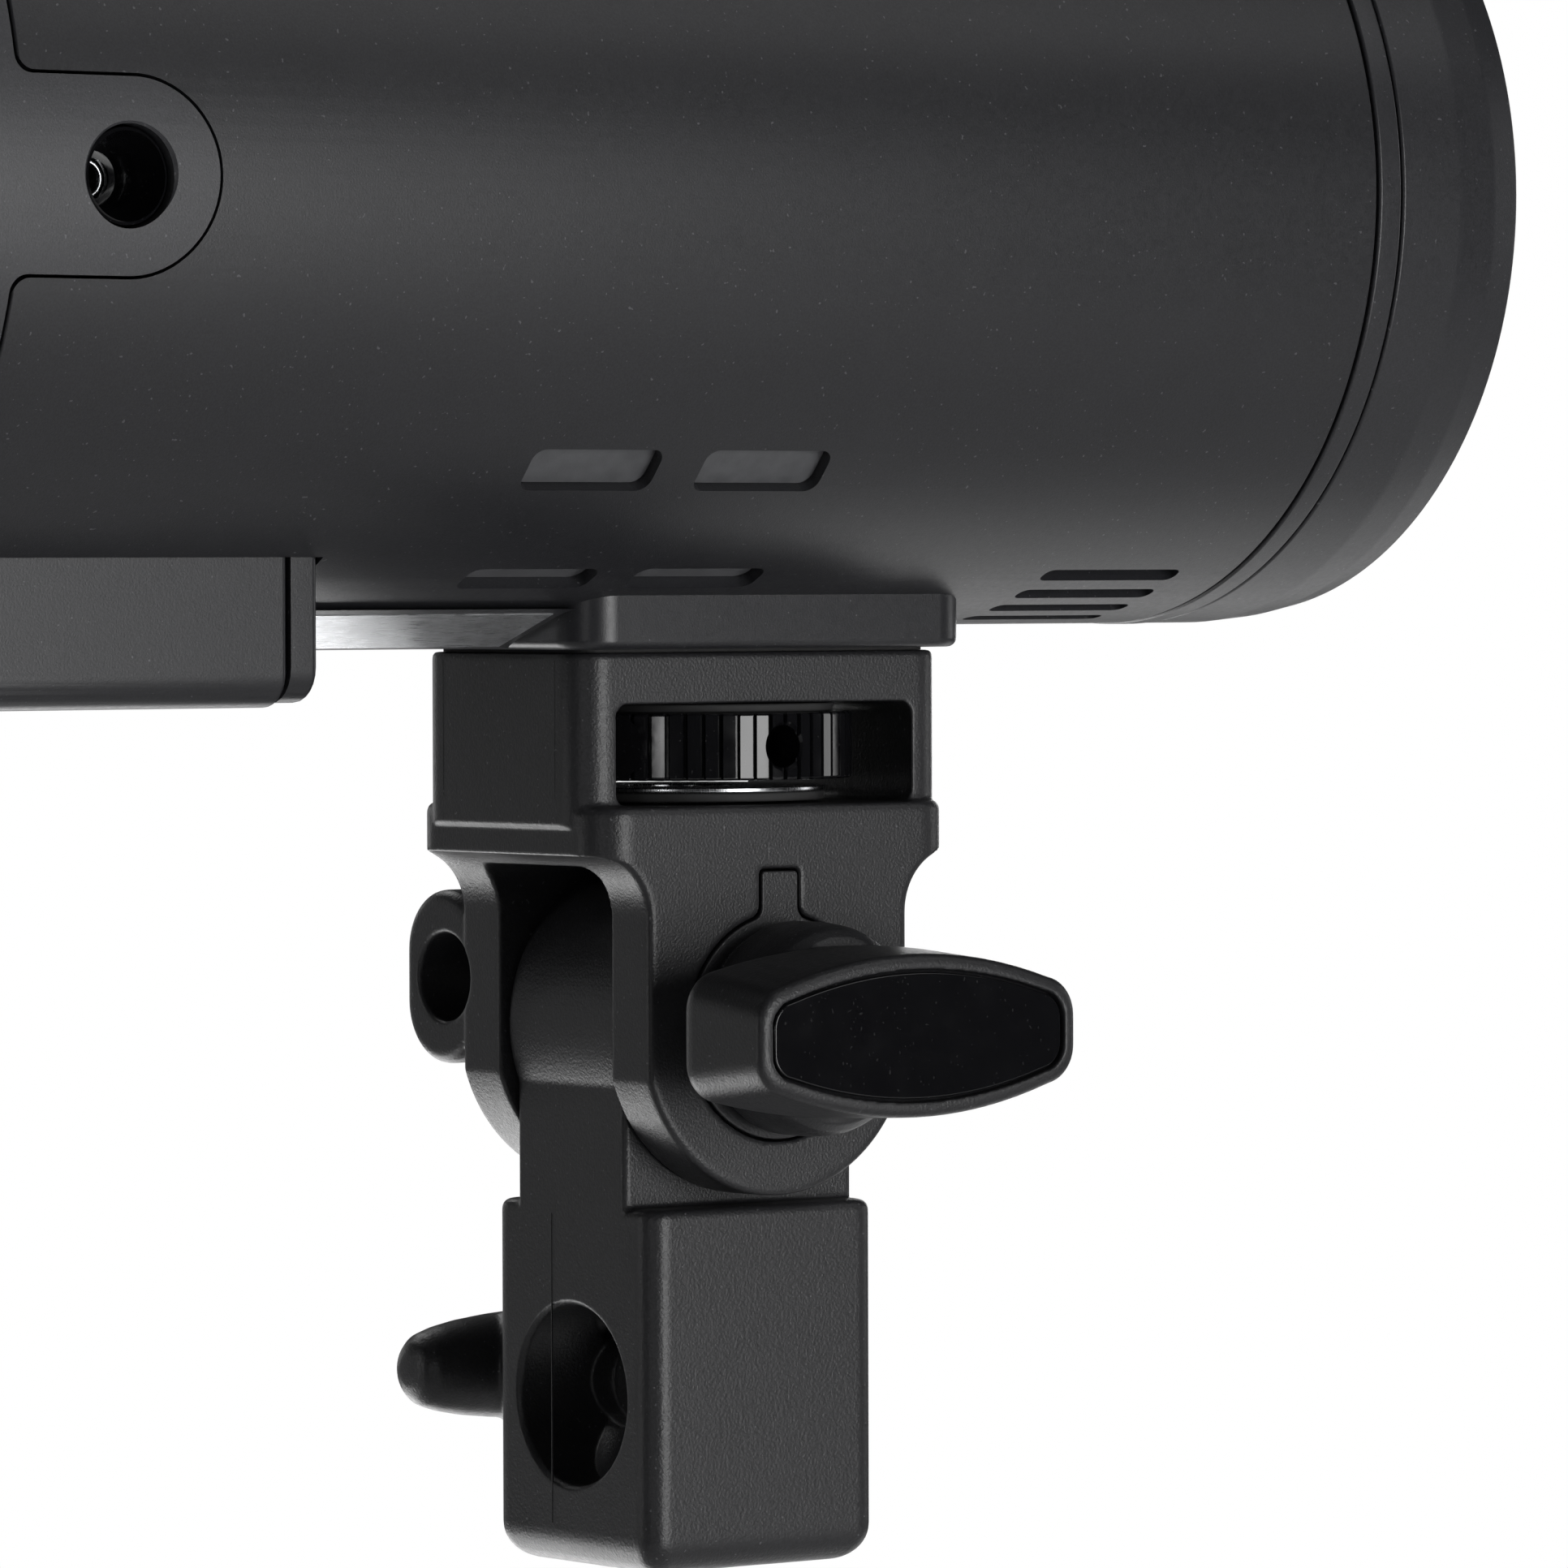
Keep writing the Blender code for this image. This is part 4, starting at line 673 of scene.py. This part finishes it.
def tommy_holes():
    """Six radial holes with chamfered mouths, round the wheel's middle."""
    centre = Matrix.Translation(up(0, 0, 26.25))
    holes = []
    for i in range(6):
        hole = rod("tommy_hole", 2.0, 11, 20, (0, 0, 0), "+X", 32)
        mouth = turned("mouth", [(0, 17), (3.2, 17), (2.0, 15.6), (0, 15.6)], (0, 0, 0), "+X", 32)
        for cutter in (hole, mouth):
            cutter.data.transform(centre @ Matrix.Rotation(math.radians(30 + 60 * i), 4, "Z"))
            holes.append(cutter)
    return holes


def make_thumbwheel():
    """Polished wheel on a rubber slip ring."""
    wheel = slab("grip_wheel", wheel_outline(16.0, 60), 23.1, 29.4, TILT_AXIS, "+Z", 0.35, 0.35, 3)
    cut(wheel, *tommy_holes(), rod("bore", 5.0, 20, 32, TILT_AXIS, "+Z"))
    show(wheel, "thumbwheel", GLOSS, "gloss_plastic", "thumbwheel", sharp=28)
    slip = pipe("wheel_slip_ring", 14.2, 5.4, 29.42, 30.2, TILT_AXIS, "+Z", 72)
    show(slip, "thumbwheel", RUBBER, "key_rubber")


# ---- head shells ----------------------------------------------------------------------------

# Vents below the near side, mirrored to the far side: X from and to, degrees round the tube's axis from and to,
# corner radius.
VENTS = [
    (-40.4, -26.0, -142.8, -135.9, 1.3), (-21.1, -6.9, -142.8, -135.9, 1.3),
    (-38.7, -24.3, -120.0, -114.5, 1.2), (-19.8, -5.3, -120.0, -114.5, 1.2),
    (28.4, 44.8, -119.3, -116.2, 0.9), (28.4, 44.8, -113.4, -110.3, 0.9),
    (28.4, 44.8, -107.6, -104.5, 0.9), (28.4, 44.8, -101.7, -98.6, 0.9),
]
# The tab's round nose: its middle and radius, and the middle of the jack and port near it.
TAB_X, TAB_Z, TAB_R = -88.15, 76.5, 8.5
JACK_X = -88.7
# Cross-section of the keel under the tube, between the battery bay and the pad, as (Y, Z).
KEEL = [(-13.5, 39.2), (-3.0, 35.5), (3.0, 35.5), (13.5, 39.2)]


def tab_outline(grow=0.0):
    """Side view of the rear housing's tab, with a small fillet where it leaves the housing."""
    radius = TAB_R + grow
    seam = SEAM + grow
    foot = TAB_Z - radius
    low = fillet([(seam, foot - 4, 0), (seam, foot, 1.6), (seam + 4, foot, 0)], 0)[1:-1]
    upper = [(x, 2 * TAB_Z - z) for x, z in reversed(low)]
    nose = arc(TAB_X, TAB_Z, radius, -90, 90, 48)
    return [(seam - 6, low[0][1])] + low + nose + upper + [(seam - 6, upper[-1][1])]


def bay_space(front, top=56.3):
    """The battery's room, open to the rear and below."""
    return block("bay", (-130, -22.3, 0), (front, 22.3, top), TILT_AXIS)


def in_vents(name, low, high, less=0.0):
    """One rounded block in each vent, between two heights from the tube's axis."""
    made = []
    for x_from, x_to, angle_from, angle_to, corner in VENTS:
        for side in (1, -1):
            angle = math.radians((angle_from + angle_to) / 2)
            if side < 0:
                angle = math.pi - angle
            width = (TUBE_RADIUS - 1) * math.radians(angle_to - angle_from)
            outline = rounded(x_to - x_from - less, width - less, corner)
            piece = slab(f"{name}_{len(made) + 1}", outline, low, high, (0, 0, 0), "+Z")
            middle = Matrix.Translation(on_tube((x_from + x_to) / 2))
            piece.data.transform(middle @ Matrix.Rotation(angle - math.pi / 2, 4, "X"))
            made.append(piece)
    return made


def make_main_housing():
    """Tube with its foot pad and keel, vents with grey liners, and a notch for the tabs."""
    inner = TUBE_RADIUS - TUBE_WALL
    low, high = SEAM + SEAM_GAP, 51.4
    wall = fillet([(TUBE_RADIUS, high), (TUBE_RADIUS, low), (inner, low), (inner, high)], 0.25, 3)
    shell = turned("main_tube", wall, on_tube(), "+X", TUBE_STEPS)
    pad = slab("pad", rounded(46.0, 30.8, 4.2, 10), 35.4, 42.2, TILT_AXIS, "+Z", 0.9, 0)
    keel = slab("keel", KEEL, -56.4, -22, TILT_AXIS, "+X", 0.4, 0)
    join(shell, pad, keel)
    notch = slab("notch", tab_outline(SEAM_GAP), -60, 60, TILT_AXIS, "-Y")
    seat = rod("insert_seat", 7.3, 30, 50, TILT_AXIS, "+Z")
    cut(shell, notch, bay_space(-56.4), seat, *pin_holes(30, 38.8), *in_vents("vent", 35, 44))
    show(shell, "head", SATIN, "moulded_plastic", "main_housing")
    for liner in in_vents("vent_liner", 38.7, 39.8, 0.1):
        show(liner, "head", LINER, "insulation")


def rear_cup():
    """A turned cup, and what is cut off its front end to leave the two tabs."""
    inner = TUBE_RADIUS - TUBE_WALL
    front = TAB_X + TAB_R + 2
    profile = [
        (0, REAR, 0), (0, REAR + 4, 0), (inner, REAR + 4, 0.5),
        (inner, front, 0), (TUBE_RADIUS, front, 0), (TUBE_RADIUS, REAR, 4.0),
    ]
    cup = turned("rear_shell", fillet(profile, 0, 10), on_tube(), "+X", TUBE_STEPS)
    ahead = block("ahead", (SEAM, -50, -60), (front + 5, 50, 90), (0, 0, TUBE_Z))
    cut(ahead, slab("tab", tab_outline(), -60, 60, TILT_AXIS, "-Y"))
    return cup, ahead


def make_rear_housing():
    """Rear cup with its panel recess, jack hole, port hole and control holes."""
    cup, ahead = rear_cup()
    recess_floor = REAR_X + 2 * MM
    panel = slab("recess", panel_outline(36.8, -20.1), -5, 5, (recess_floor - 5 * MM, 0, TUBE_Z), "-X")
    bore = [(0, 50), (5.4, 50), (5.4, 41.6), (4.5, 40.7), (4.5, 30), (0, 30)]
    jack = turned("jack_hole", bore, up(JACK_X, 0, TAB_Z), "-Y", 72)
    port = slab("port_hole", rounded(10.6, 4.6, 2.0), -10, 10, up(JACK_X, 40, TAB_Z), "-Y")
    cut(cup, ahead, panel, bay_space(-90), jack, port, *rear_holes())
    # The rear housing takes the lighter copy of the tube's plastic: painted light.
    show(cup, "head", REAR_SATIN_PAINTED_LIGHT, "moulded_plastic", "rear_housing")


def panel_outline(radius, chord):
    """A disc about the tube's axis, cut off straight below."""
    start = math.degrees(math.asin(chord / radius))
    return arc(0, 0, radius, start, 180 - start, 96)


# ---- rear controls --------------------------------------------------------------------------

# Places on the rear panel in millimetres from the tilt axis: heights, or (Y, Z) pairs.
DISPLAY_Z = 96.0
KEYS = {
    "power_button": (-19.5, 66.5), "mode_button": (-17.0, 77.5),
    "lamp_button": (17.0, 77.5), "test_button": (19.5, 66.5),
}
SCREWS = [(-29.5, 84.0), (29.5, 84.0)]
SENSOR_Z = 111.0


def rear_holes():
    """Holes through the rear wall for the display, dial, keys, screws and sensor."""
    holes = [slab("display_hole", rounded(37.6, 22.6, 1.5), -10, 10, up(REAR, 0, DISPLAY_Z), "-X")]
    holes.append(rod("dial_hole", 3.3, -10, 10, (REAR_X, 0, DIAL_Z), "+X"))
    for y, z in KEYS.values():
        holes.append(rod("key_hole", 3.5, -10, 10, up(REAR, y, z), "+X", 40))
    for y, z in SCREWS:
        holes.append(rod("screw_hole", 1.5, -10, 10, up(REAR, y, z), "+X", 24))
    holes.append(rod("sensor_hole", 2.3, -10, 10, up(REAR, 0, SENSOR_Z), "+X", 32))
    return holes


def make_panel():
    """Glossy panel with its display window and the red dome of the optical sensor."""
    at = (REAR_X + 0.95 * MM, 0, TUBE_Z)
    plate = slab("control_fascia", panel_outline(36.5, -19.8), -0.75, 0.75, at, "-X", 0, 0.3)
    show(cut(plate, *rear_holes()), "head", SMOKED, "gloss_plastic", "control_panel")
    at = up(-124.1, 0, DISPLAY_Z)
    window = slab("display_lens", rounded(37.0, 22.0, 1.2), -0.6, 0.6, at, "-X", 0, 0.15)
    show(window, "head", GLOSS, "glass", "display_window")
    dome = [(0, 1.9), (0.7, 1.8), (1.3, 1.4), (1.75, 0.8), (2.0, 0.0), (2.0, -6), (0, -6)]
    lens = turned("sensor_dome", dome, up(-124.5, 0, SENSOR_Z), "-X", 40)
    show(lens, "head", RED, "sensor_red", "slave_sensor")


def make_rear_screws():
    """Domed screws with a cross slot."""
    profile = [(0, 1.6), (1.4, 1.55), (1.9, 1.2), (2.1, 0.3), (1.2, 0.3), (1.2, -16), (0, -16)]
    for i, (y, z) in enumerate(SCREWS):
        screw = turned(f"panel_screw_{i + 1}", profile, up(-124.8, y, z), "-X", 40)
        slots = []
        for half_y, half_z in ((1.3, 0.25), (0.25, 1.3)):
            low = (-128, y - half_y, z - half_z)
            high = (-125.6, y + half_y, z + half_z)
            slots.append(block("slot", low, high, TILT_AXIS))
        show(cut(screw, *slots), "head", STEEL, "steel", f"rear_screw_{i + 1}")


def make_keys():
    """Round keys with a flange behind the panel; the power key is red."""
    crown = [(0, 0.9), (2.3, 0.9), (2.8, 0.75), (3.2, 0.3)]
    flange = [(3.2, -4.4), (4.2, -4.4), (4.2, -5.4), (0, -5.4)]
    for name, (y, z) in KEYS.items():
        cap = turned(name + "_cap", crown + flange, up(REAR, y, z), "-X", 56)
        red = name == "power_button"
        show(cap, name, RED if red else RUBBER, "sensor_red" if red else "key_rubber", name)


def make_dial():
    """Fluted dial with a dished face, and the set key in its middle."""
    flutes = 30
    outline = []
    for i in range(flutes * 6):
        a = 2 * math.pi * i / (flutes * 6)
        radius = 9.0 - 0.35 * (0.5 - 0.5 * math.cos(flutes * a)) ** 2
        outline.append((radius * math.cos(a), radius * math.sin(a)))
    at = (REAR_X, 0, DIAL_Z)
    dial = slab("power_dial", outline, 0.4, 5.9, at, "-X", 0.2, 0.6, 4)
    shaft = rod("shaft", 3.0, -1, 8, at, "+X")
    well = turned("well", [(0, 8), (6.6, 8), (5.3, 5.4), (5.3, 3.6), (0, 3.6)], at, "-X", 72)
    bore = rod("bore", 1.8, -20, 20, at, "+X", 32)
    show(cut(join(dial, shaft), well, bore), "control_dial", GRAINED, "moulded_plastic", "control_dial")
    crown = [(0, 5.9), (3.0, 6.05), (4.2, 6.2), (4.8, 5.9), (5.0, 5.4)]
    stem = [(5.0, 4.4), (1.5, 4.4), (1.5, -9.6), (0, -9.6)]
    key = turned("set_key", crown + stem, at, "-X", 64)
    show(key, "set_button", GLOSS, "gloss_plastic", "set_button")


# ---- battery --------------------------------------------------------------------------------

def make_battery():
    """Battery pack: case with finger scoops, lid, and its ribbed latch."""
    section = [(-22, 53.2, 0.2), (-22, 30.6, 3.2), (22, 30.6, 3.2), (22, 53.2, 0.2)]
    case = slab("battery_shell", fillet(section, 0, 8), REAR, -60.0, TILT_AXIS, "+X", 1.2, 0.6)
    scoops = [rod("scoop", 30, -7, 7, up(-103, side * 50.6, 38.5), "+Z", 256) for side in (-1, 1)]
    latch = slab("latch_hole", rounded(14.6, 5.6, 2.0), -10, 10, up(REAR, 0, 37), "-X")
    inside = block("inside", (REAR + 3.5, -20, 32.6), (-61.8, 20, 60), TILT_AXIS)
    cut(case, inside, *scoops, latch)
    show(case, "battery", SATIN, "moulded_plastic", "battery_case")
    lid = block("battery_cover", (REAR, -22, 53.5), (-60, 22, 56), TILT_AXIS, 0.6)
    show(lid, "battery", SATIN, "moulded_plastic", "battery_lid")
    button = slab("latch_key", rounded(14, 5, 1.8), -1.4, 1.4, up(REAR + 0.4, 0, 37), "-X", 0.2, 0.5)
    show(button, "battery_latch", RUBBER, "key_rubber", "battery_latch")
    for i in range(3):
        low, high = (REAR - 1.1, -4.5, 35.7 + i), (REAR - 0.9, 4.5, 36.1 + i)
        rib = block(f"latch_rib_{i + 1}", low, high, TILT_AXIS, 0.08)
        show(rib, "battery_latch", RUBBER, "key_rubber")


def make_bay():
    """Tray round the battery, trimmed to the tube's inside, with the lip that closes its front."""
    tray = block("battery_tray", (-120.7, -23.9, 20), (-56.7, 23.9, 58.1), TILT_AXIS)
    combine("INTERSECT", tray, [rod("inside_tube", 38.7, -130, 0, on_tube(), "+X", TUBE_STEPS)])
    cut(tray, bay_space(-59.7, 56.4))
    lip = slab("lip", rounded(44, 24, 3.2), -1.5, 1.5, up(-58.2, 0, 43.0), "+X", 0, 0.7)
    join(tray, lip)
    cut(tray, block("contacts", (-62, -8.3, 44.7), (-50, 8.3, 51.3), TILT_AXIS))
    show(tray, "head", SATIN, "moulded_plastic", "battery_bay")


# ---- front end ------------------------------------------------------------------------------

# How far the release pin is ahead of the tilt axis.
RELEASE_X = 62.4


def make_collar():
    """Thin trim ring, and the accessory collar with three bayonet lugs inside."""
    section = fillet([(41.1, 54.4), (41.1, 51.7), (37.0, 51.7), (37.0, 54.4)], 0.3, 4)
    ring = turned("trim_ring", section, on_tube(), "+X", TUBE_STEPS)
    # Ring and collar take the lighter copy of the tube's plastic: painted light.
    show(ring, "head", FRONT_SATIN_PAINTED_LIGHT, "moulded_plastic", "front_ring")
    outside = [(39.9, 70.1, 0.45), (40.6, 66.5, 6.0), (41.0, 62.0, 8.0), (41.0, 54.7, 0.3)]
    inside = [(38.0, 54.7, 0.2), (38.0, 70.1, 0.45)]
    collar = turned("mount_collar", fillet(outside + inside, 0, 5), on_tube(), "+X", TUBE_STEPS)
    for angle in (90, 210, 330):
        lug = block("lug", (61.95, -8, 36.2), (64.45, 8, 39.0), (0, 0, 0), 0.3)
        turn = Matrix.Rotation(math.radians(angle - 90), 4, "X")
        lug.data.transform(Matrix.Translation(on_tube()) @ turn)
        join(collar, lug)
    cut(collar, rod("release_hole", 3.3, 30, 50, on_tube(RELEASE_X), "+Y"))
    show(collar, "head", FRONT_SATIN_PAINTED_LIGHT, "moulded_plastic", "front_collar")


def make_release():
    """Domed pin that frees the accessory, on the collar's far side."""
    dome = [(0, 1.2), (1.6, 1.15), (2.4, 0.95), (3.0, 0.4), (3.0, -2.4), (0, -2.4)]
    pin = turned("release_pin", dome, (RELEASE_X * MM, TUBE_R, TUBE_Z), "+Y", 56)
    show(pin, "mount_release", RUBBER, "key_rubber", "mount_release")


def make_reflector():
    """Flared dish round the flash tube, closed by frosted glass."""
    front = [(17.5, 22.6), (22.8, 25.2), (27.5, 30.0), (30.7, 35.8), (33.0, 42.0), (34.9, 49.0), (36.3, 56.2)]
    back = [(r - 0.9, x + 0.1) for r, x in front]
    dish = turned("reflector", front[::-1] + back, on_tube(), "+X", 96)
    show(dish, "head", REFLECTOR, "aluminium", "reflector_dish")
    pane = rod("diffuser_glass", 37.6, 56.7, 58.7, on_tube(), "+X", 128, 0.3)
    show(pane, "head", FROSTED, "glass", "front_glass")


def make_jack():
    """Jack socket deep in its recess on the near side, with a steel contact ring."""
    at = up(JACK_X, 0, TAB_Z)
    wall = [(4.2, 40.0), (4.2, 30), (0, 30)]
    bore = [(0, 31), (1.75, 31), (1.75, 34.6), (2.4, 34.6), (3.6, 38.6), (3.9, 40.2)]
    barrel = turned("jack_socket", wall + bore, at, "-Y", 64)
    show(barrel, "head", GLOSS, "gloss_plastic", "sync_jack")
    contact = pipe("jack_contact_ring", 1.72, 1.35, 33.2, 33.8, at, "-Y", 48, 0.12)
    show(contact, "head", STEEL, "steel")


def make_label():
    """Blank rating plate on the keel's near slope."""
    foot, root = Vector(KEEL[1]), Vector(KEEL[0])
    down = (foot - root).normalized()
    out = Vector((down.y, -down.x)) * 0.07
    low, high = root.lerp(foot, 0.94), root.lerp(foot, 0.12)
    section = [low, high, high + out, low + out]
    rings = [[(y, z, x) for y, z in section] for x in (-54.5, -24.0)]
    show(from_rings("rating_plate", rings, TILT_AXIS, "+X"), "head", FOIL, "steel")


# ---- carried-over nodes ---------------------------------------------------------------------

# These pieces keep their CAD shapes. Each row is a finish, a slot and its nodes.
CARRIED = [
    (BRASS, "brass", ["tilt_bushing", "foot_insert", "battery_contacts"]),
    (STEEL, "steel", ["tilt_nut", "tilt_bolt", "foot_stud", "locating_pin_front"]),
    (STEEL, "steel", ["locating_pin_rear", "charge_port"]),
    (LINER, "insulation", ["insulation_sleeve", "bulkhead"]),
    (BOARD, "circuit_board", ["control_board", "power_board"]),
    (SLEEVING, "cell_sleeve", ["battery_cell_near", "battery_cell_far", "capacitor_near", "capacitor_far"]),
    (CERAMIC, "ceramic", ["lamp_base"]),
    (PHOSPHOR, "led_phosphor", ["modelling_light"]),
    (CLEAR, "glass", ["flash_tube"]),
    (GLOSS, "gloss_plastic", ["display_module", "fan_rotor"]),
    (SATIN, "moulded_plastic", ["fan_frame"]),
]


def dress_nodes():
    """Gives the carried-over nodes their finishes."""
    for finish, slot, names in CARRIED:
        for name in names:
            node = frame["nodes"][name]
            node.data.materials.clear()
            node.data.materials.append(finish)


# ---- studio ---------------------------------------------------------------------------------

# Metres: the point that the softboxes face, and how far off they stand.
AIM = Vector((0, 0, 0.1))
LIGHT_DISTANCE = 1.25
# Name, azimuth (0 is -Y, 90 is +X) and elevation in degrees, width and height in metres, power in watts.
SOFTBOXES = [
    ("front_softbox", 12, -3, 0.50, 0.70, 8.2),
    ("front_top", 40, 42, 0.60, 0.60, 1.3),
    ("lamp_side", 82, 3, 0.35, 0.50, 1.0),
    ("left_strip", -112, 4, 0.20, 0.70, 1.3),
    ("far_top", 175, 42, 0.60, 0.60, 3.0),
    ("left_front", -52, 2, 0.10, 0.30, 0.5),
    ("back_right", 130, 3, 0.50, 0.40, 2.0),
    ("back", 180, 3, 0.50, 0.40, 0.8),
    ("back_left", -142, 3, 0.40, 0.50, 0.25),
]


def area_light(name, at, width, height, power, target):
    """A rectangular light that faces its target."""
    light = bpy.data.lights.new(name, "AREA")
    light.shape = "RECTANGLE"
    light.size = width
    light.size_y = height
    light.energy = power
    obj = bpy.data.objects.new(name, light)
    obj.location = at
    obj.rotation_euler = (Vector(target) - Vector(at)).to_track_quat("-Z", "Y").to_euler()
    bpy.context.scene.collection.objects.link(obj)


def make_lights():
    """Softboxes round the object, and two that shine straight up from just above the floor."""
    for name, azimuth, elevation, width, height, power in SOFTBOXES:
        around, lift = math.radians(azimuth), math.radians(elevation)
        level = math.cos(lift)
        towards = Vector((math.sin(around) * level, -math.cos(around) * level, math.sin(lift)))
        area_light(name, AIM + LIGHT_DISTANCE * towards, width, height, power, AIM)
    area_light("far_bounce", (0, 0.6, -0.27), 0.6, 0.6, 4.6, (0, 0.6, 1))
    area_light("right_bounce", (0.52, 0.3, -0.27), 0.6, 0.6, 0.6, (0.52, 0.3, 1))


def seen_or_lit(tree, lighting, seen, output):
    """Shows the camera one shader and every other ray another."""
    path = tree.nodes.new("ShaderNodeLightPath")
    choose = tree.nodes.new("ShaderNodeMixShader")
    tree.links.new(path.outputs["Is Camera Ray"], choose.inputs["Fac"])
    tree.links.new(lighting, choose.inputs[1])
    tree.links.new(seen, choose.inputs[2])
    tree.links.new(choose.outputs["Shader"], output.inputs["Surface"])


def make_world():
    """White backdrop that lights the object only faintly."""
    scene = bpy.context.scene
    scene.view_settings.view_transform = "Standard"
    scene.world = bpy.data.worlds.new("studio")
    scene.world.use_nodes = True
    tree = scene.world.node_tree
    backdrop = tree.nodes["Background"]
    backdrop.inputs["Color"].default_value = (1, 1, 1, 1)
    fill = tree.nodes.new("ShaderNodeBackground")
    fill.inputs["Color"].default_value = (0.95, 0.97, 1.0, 1)
    fill.inputs["Strength"].default_value = 0.012  # just enough to keep the deepest shadows open
    output = tree.nodes["World Output"]
    seen_or_lit(tree, fill.outputs["Background"], backdrop.outputs["Background"], output)


def make_floor():
    """Round sheet of pale paper below the object; the camera sees it evenly bright."""
    bpy.ops.mesh.primitive_circle_add(vertices=96, radius=1.6, fill_type="NGON", location=(0, 0, -0.3))
    floor = bpy.context.object
    floor.name = "studio_floor"
    paper, tree, shader = new_material("floor_paper", (0.92, 0.92, 0.92), 0.8)
    mottling = spread(tree, noise(tree, 40.0), 0, 1)
    vary_colour(tree, shader, mottling, (0.90, 0.90, 0.90), (0.93, 0.93, 0.93))
    bright = tree.nodes.new("ShaderNodeEmission")
    bright.inputs["Color"].default_value = (0.94, 0.94, 0.95, 1)
    output = tree.nodes["Material Output"]
    seen_or_lit(tree, shader.outputs["BSDF"], bright.outputs["Emission"], output)
    floor.data.materials.append(paper)


def make_camera():
    """Long lens, behind the head and to its right, looking down very slightly."""
    camera = bpy.data.objects.new("camera", bpy.data.cameras.new("camera"))
    camera.data.sensor_width = 36.0
    camera.data.lens = 210.9
    camera.data.clip_start = 0.05
    camera.data.clip_end = 50
    azimuth = math.radians(37.209)
    drop = math.radians(1.353)
    roll = math.radians(-0.173)
    level = math.cos(drop)
    forward = Vector((math.sin(azimuth) * level, math.cos(azimuth) * level, -math.sin(drop)))
    right = Vector((math.cos(azimuth), -math.sin(azimuth), 0))
    above = right.cross(forward)
    tilted_right = math.cos(roll) * right + math.sin(roll) * above
    tilted_above = math.cos(roll) * above - math.sin(roll) * right
    turn = Matrix((tilted_right, tilted_above, -forward)).transposed().to_4x4()
    camera.matrix_world = Matrix.Translation(Vector(up(-518.53, -698.67, 42.99))) @ turn
    bpy.context.scene.collection.objects.link(camera)
    bpy.context.scene.camera = camera


# ---- everything -----------------------------------------------------------------------------

make_camera()
make_world()
make_floor()
make_lights()
dress_nodes()
make_receiver()
make_clamp_insert()
make_stand_lock()
make_yoke()
make_tilt_hardware()
make_lever()
make_umbrella_lock()
make_thumbwheel()
make_main_housing()
make_rear_housing()
make_panel()
make_rear_screws()
make_keys()
make_dial()
make_battery()
make_bay()
make_collar()
make_release()
make_reflector()
make_jack()
make_label()
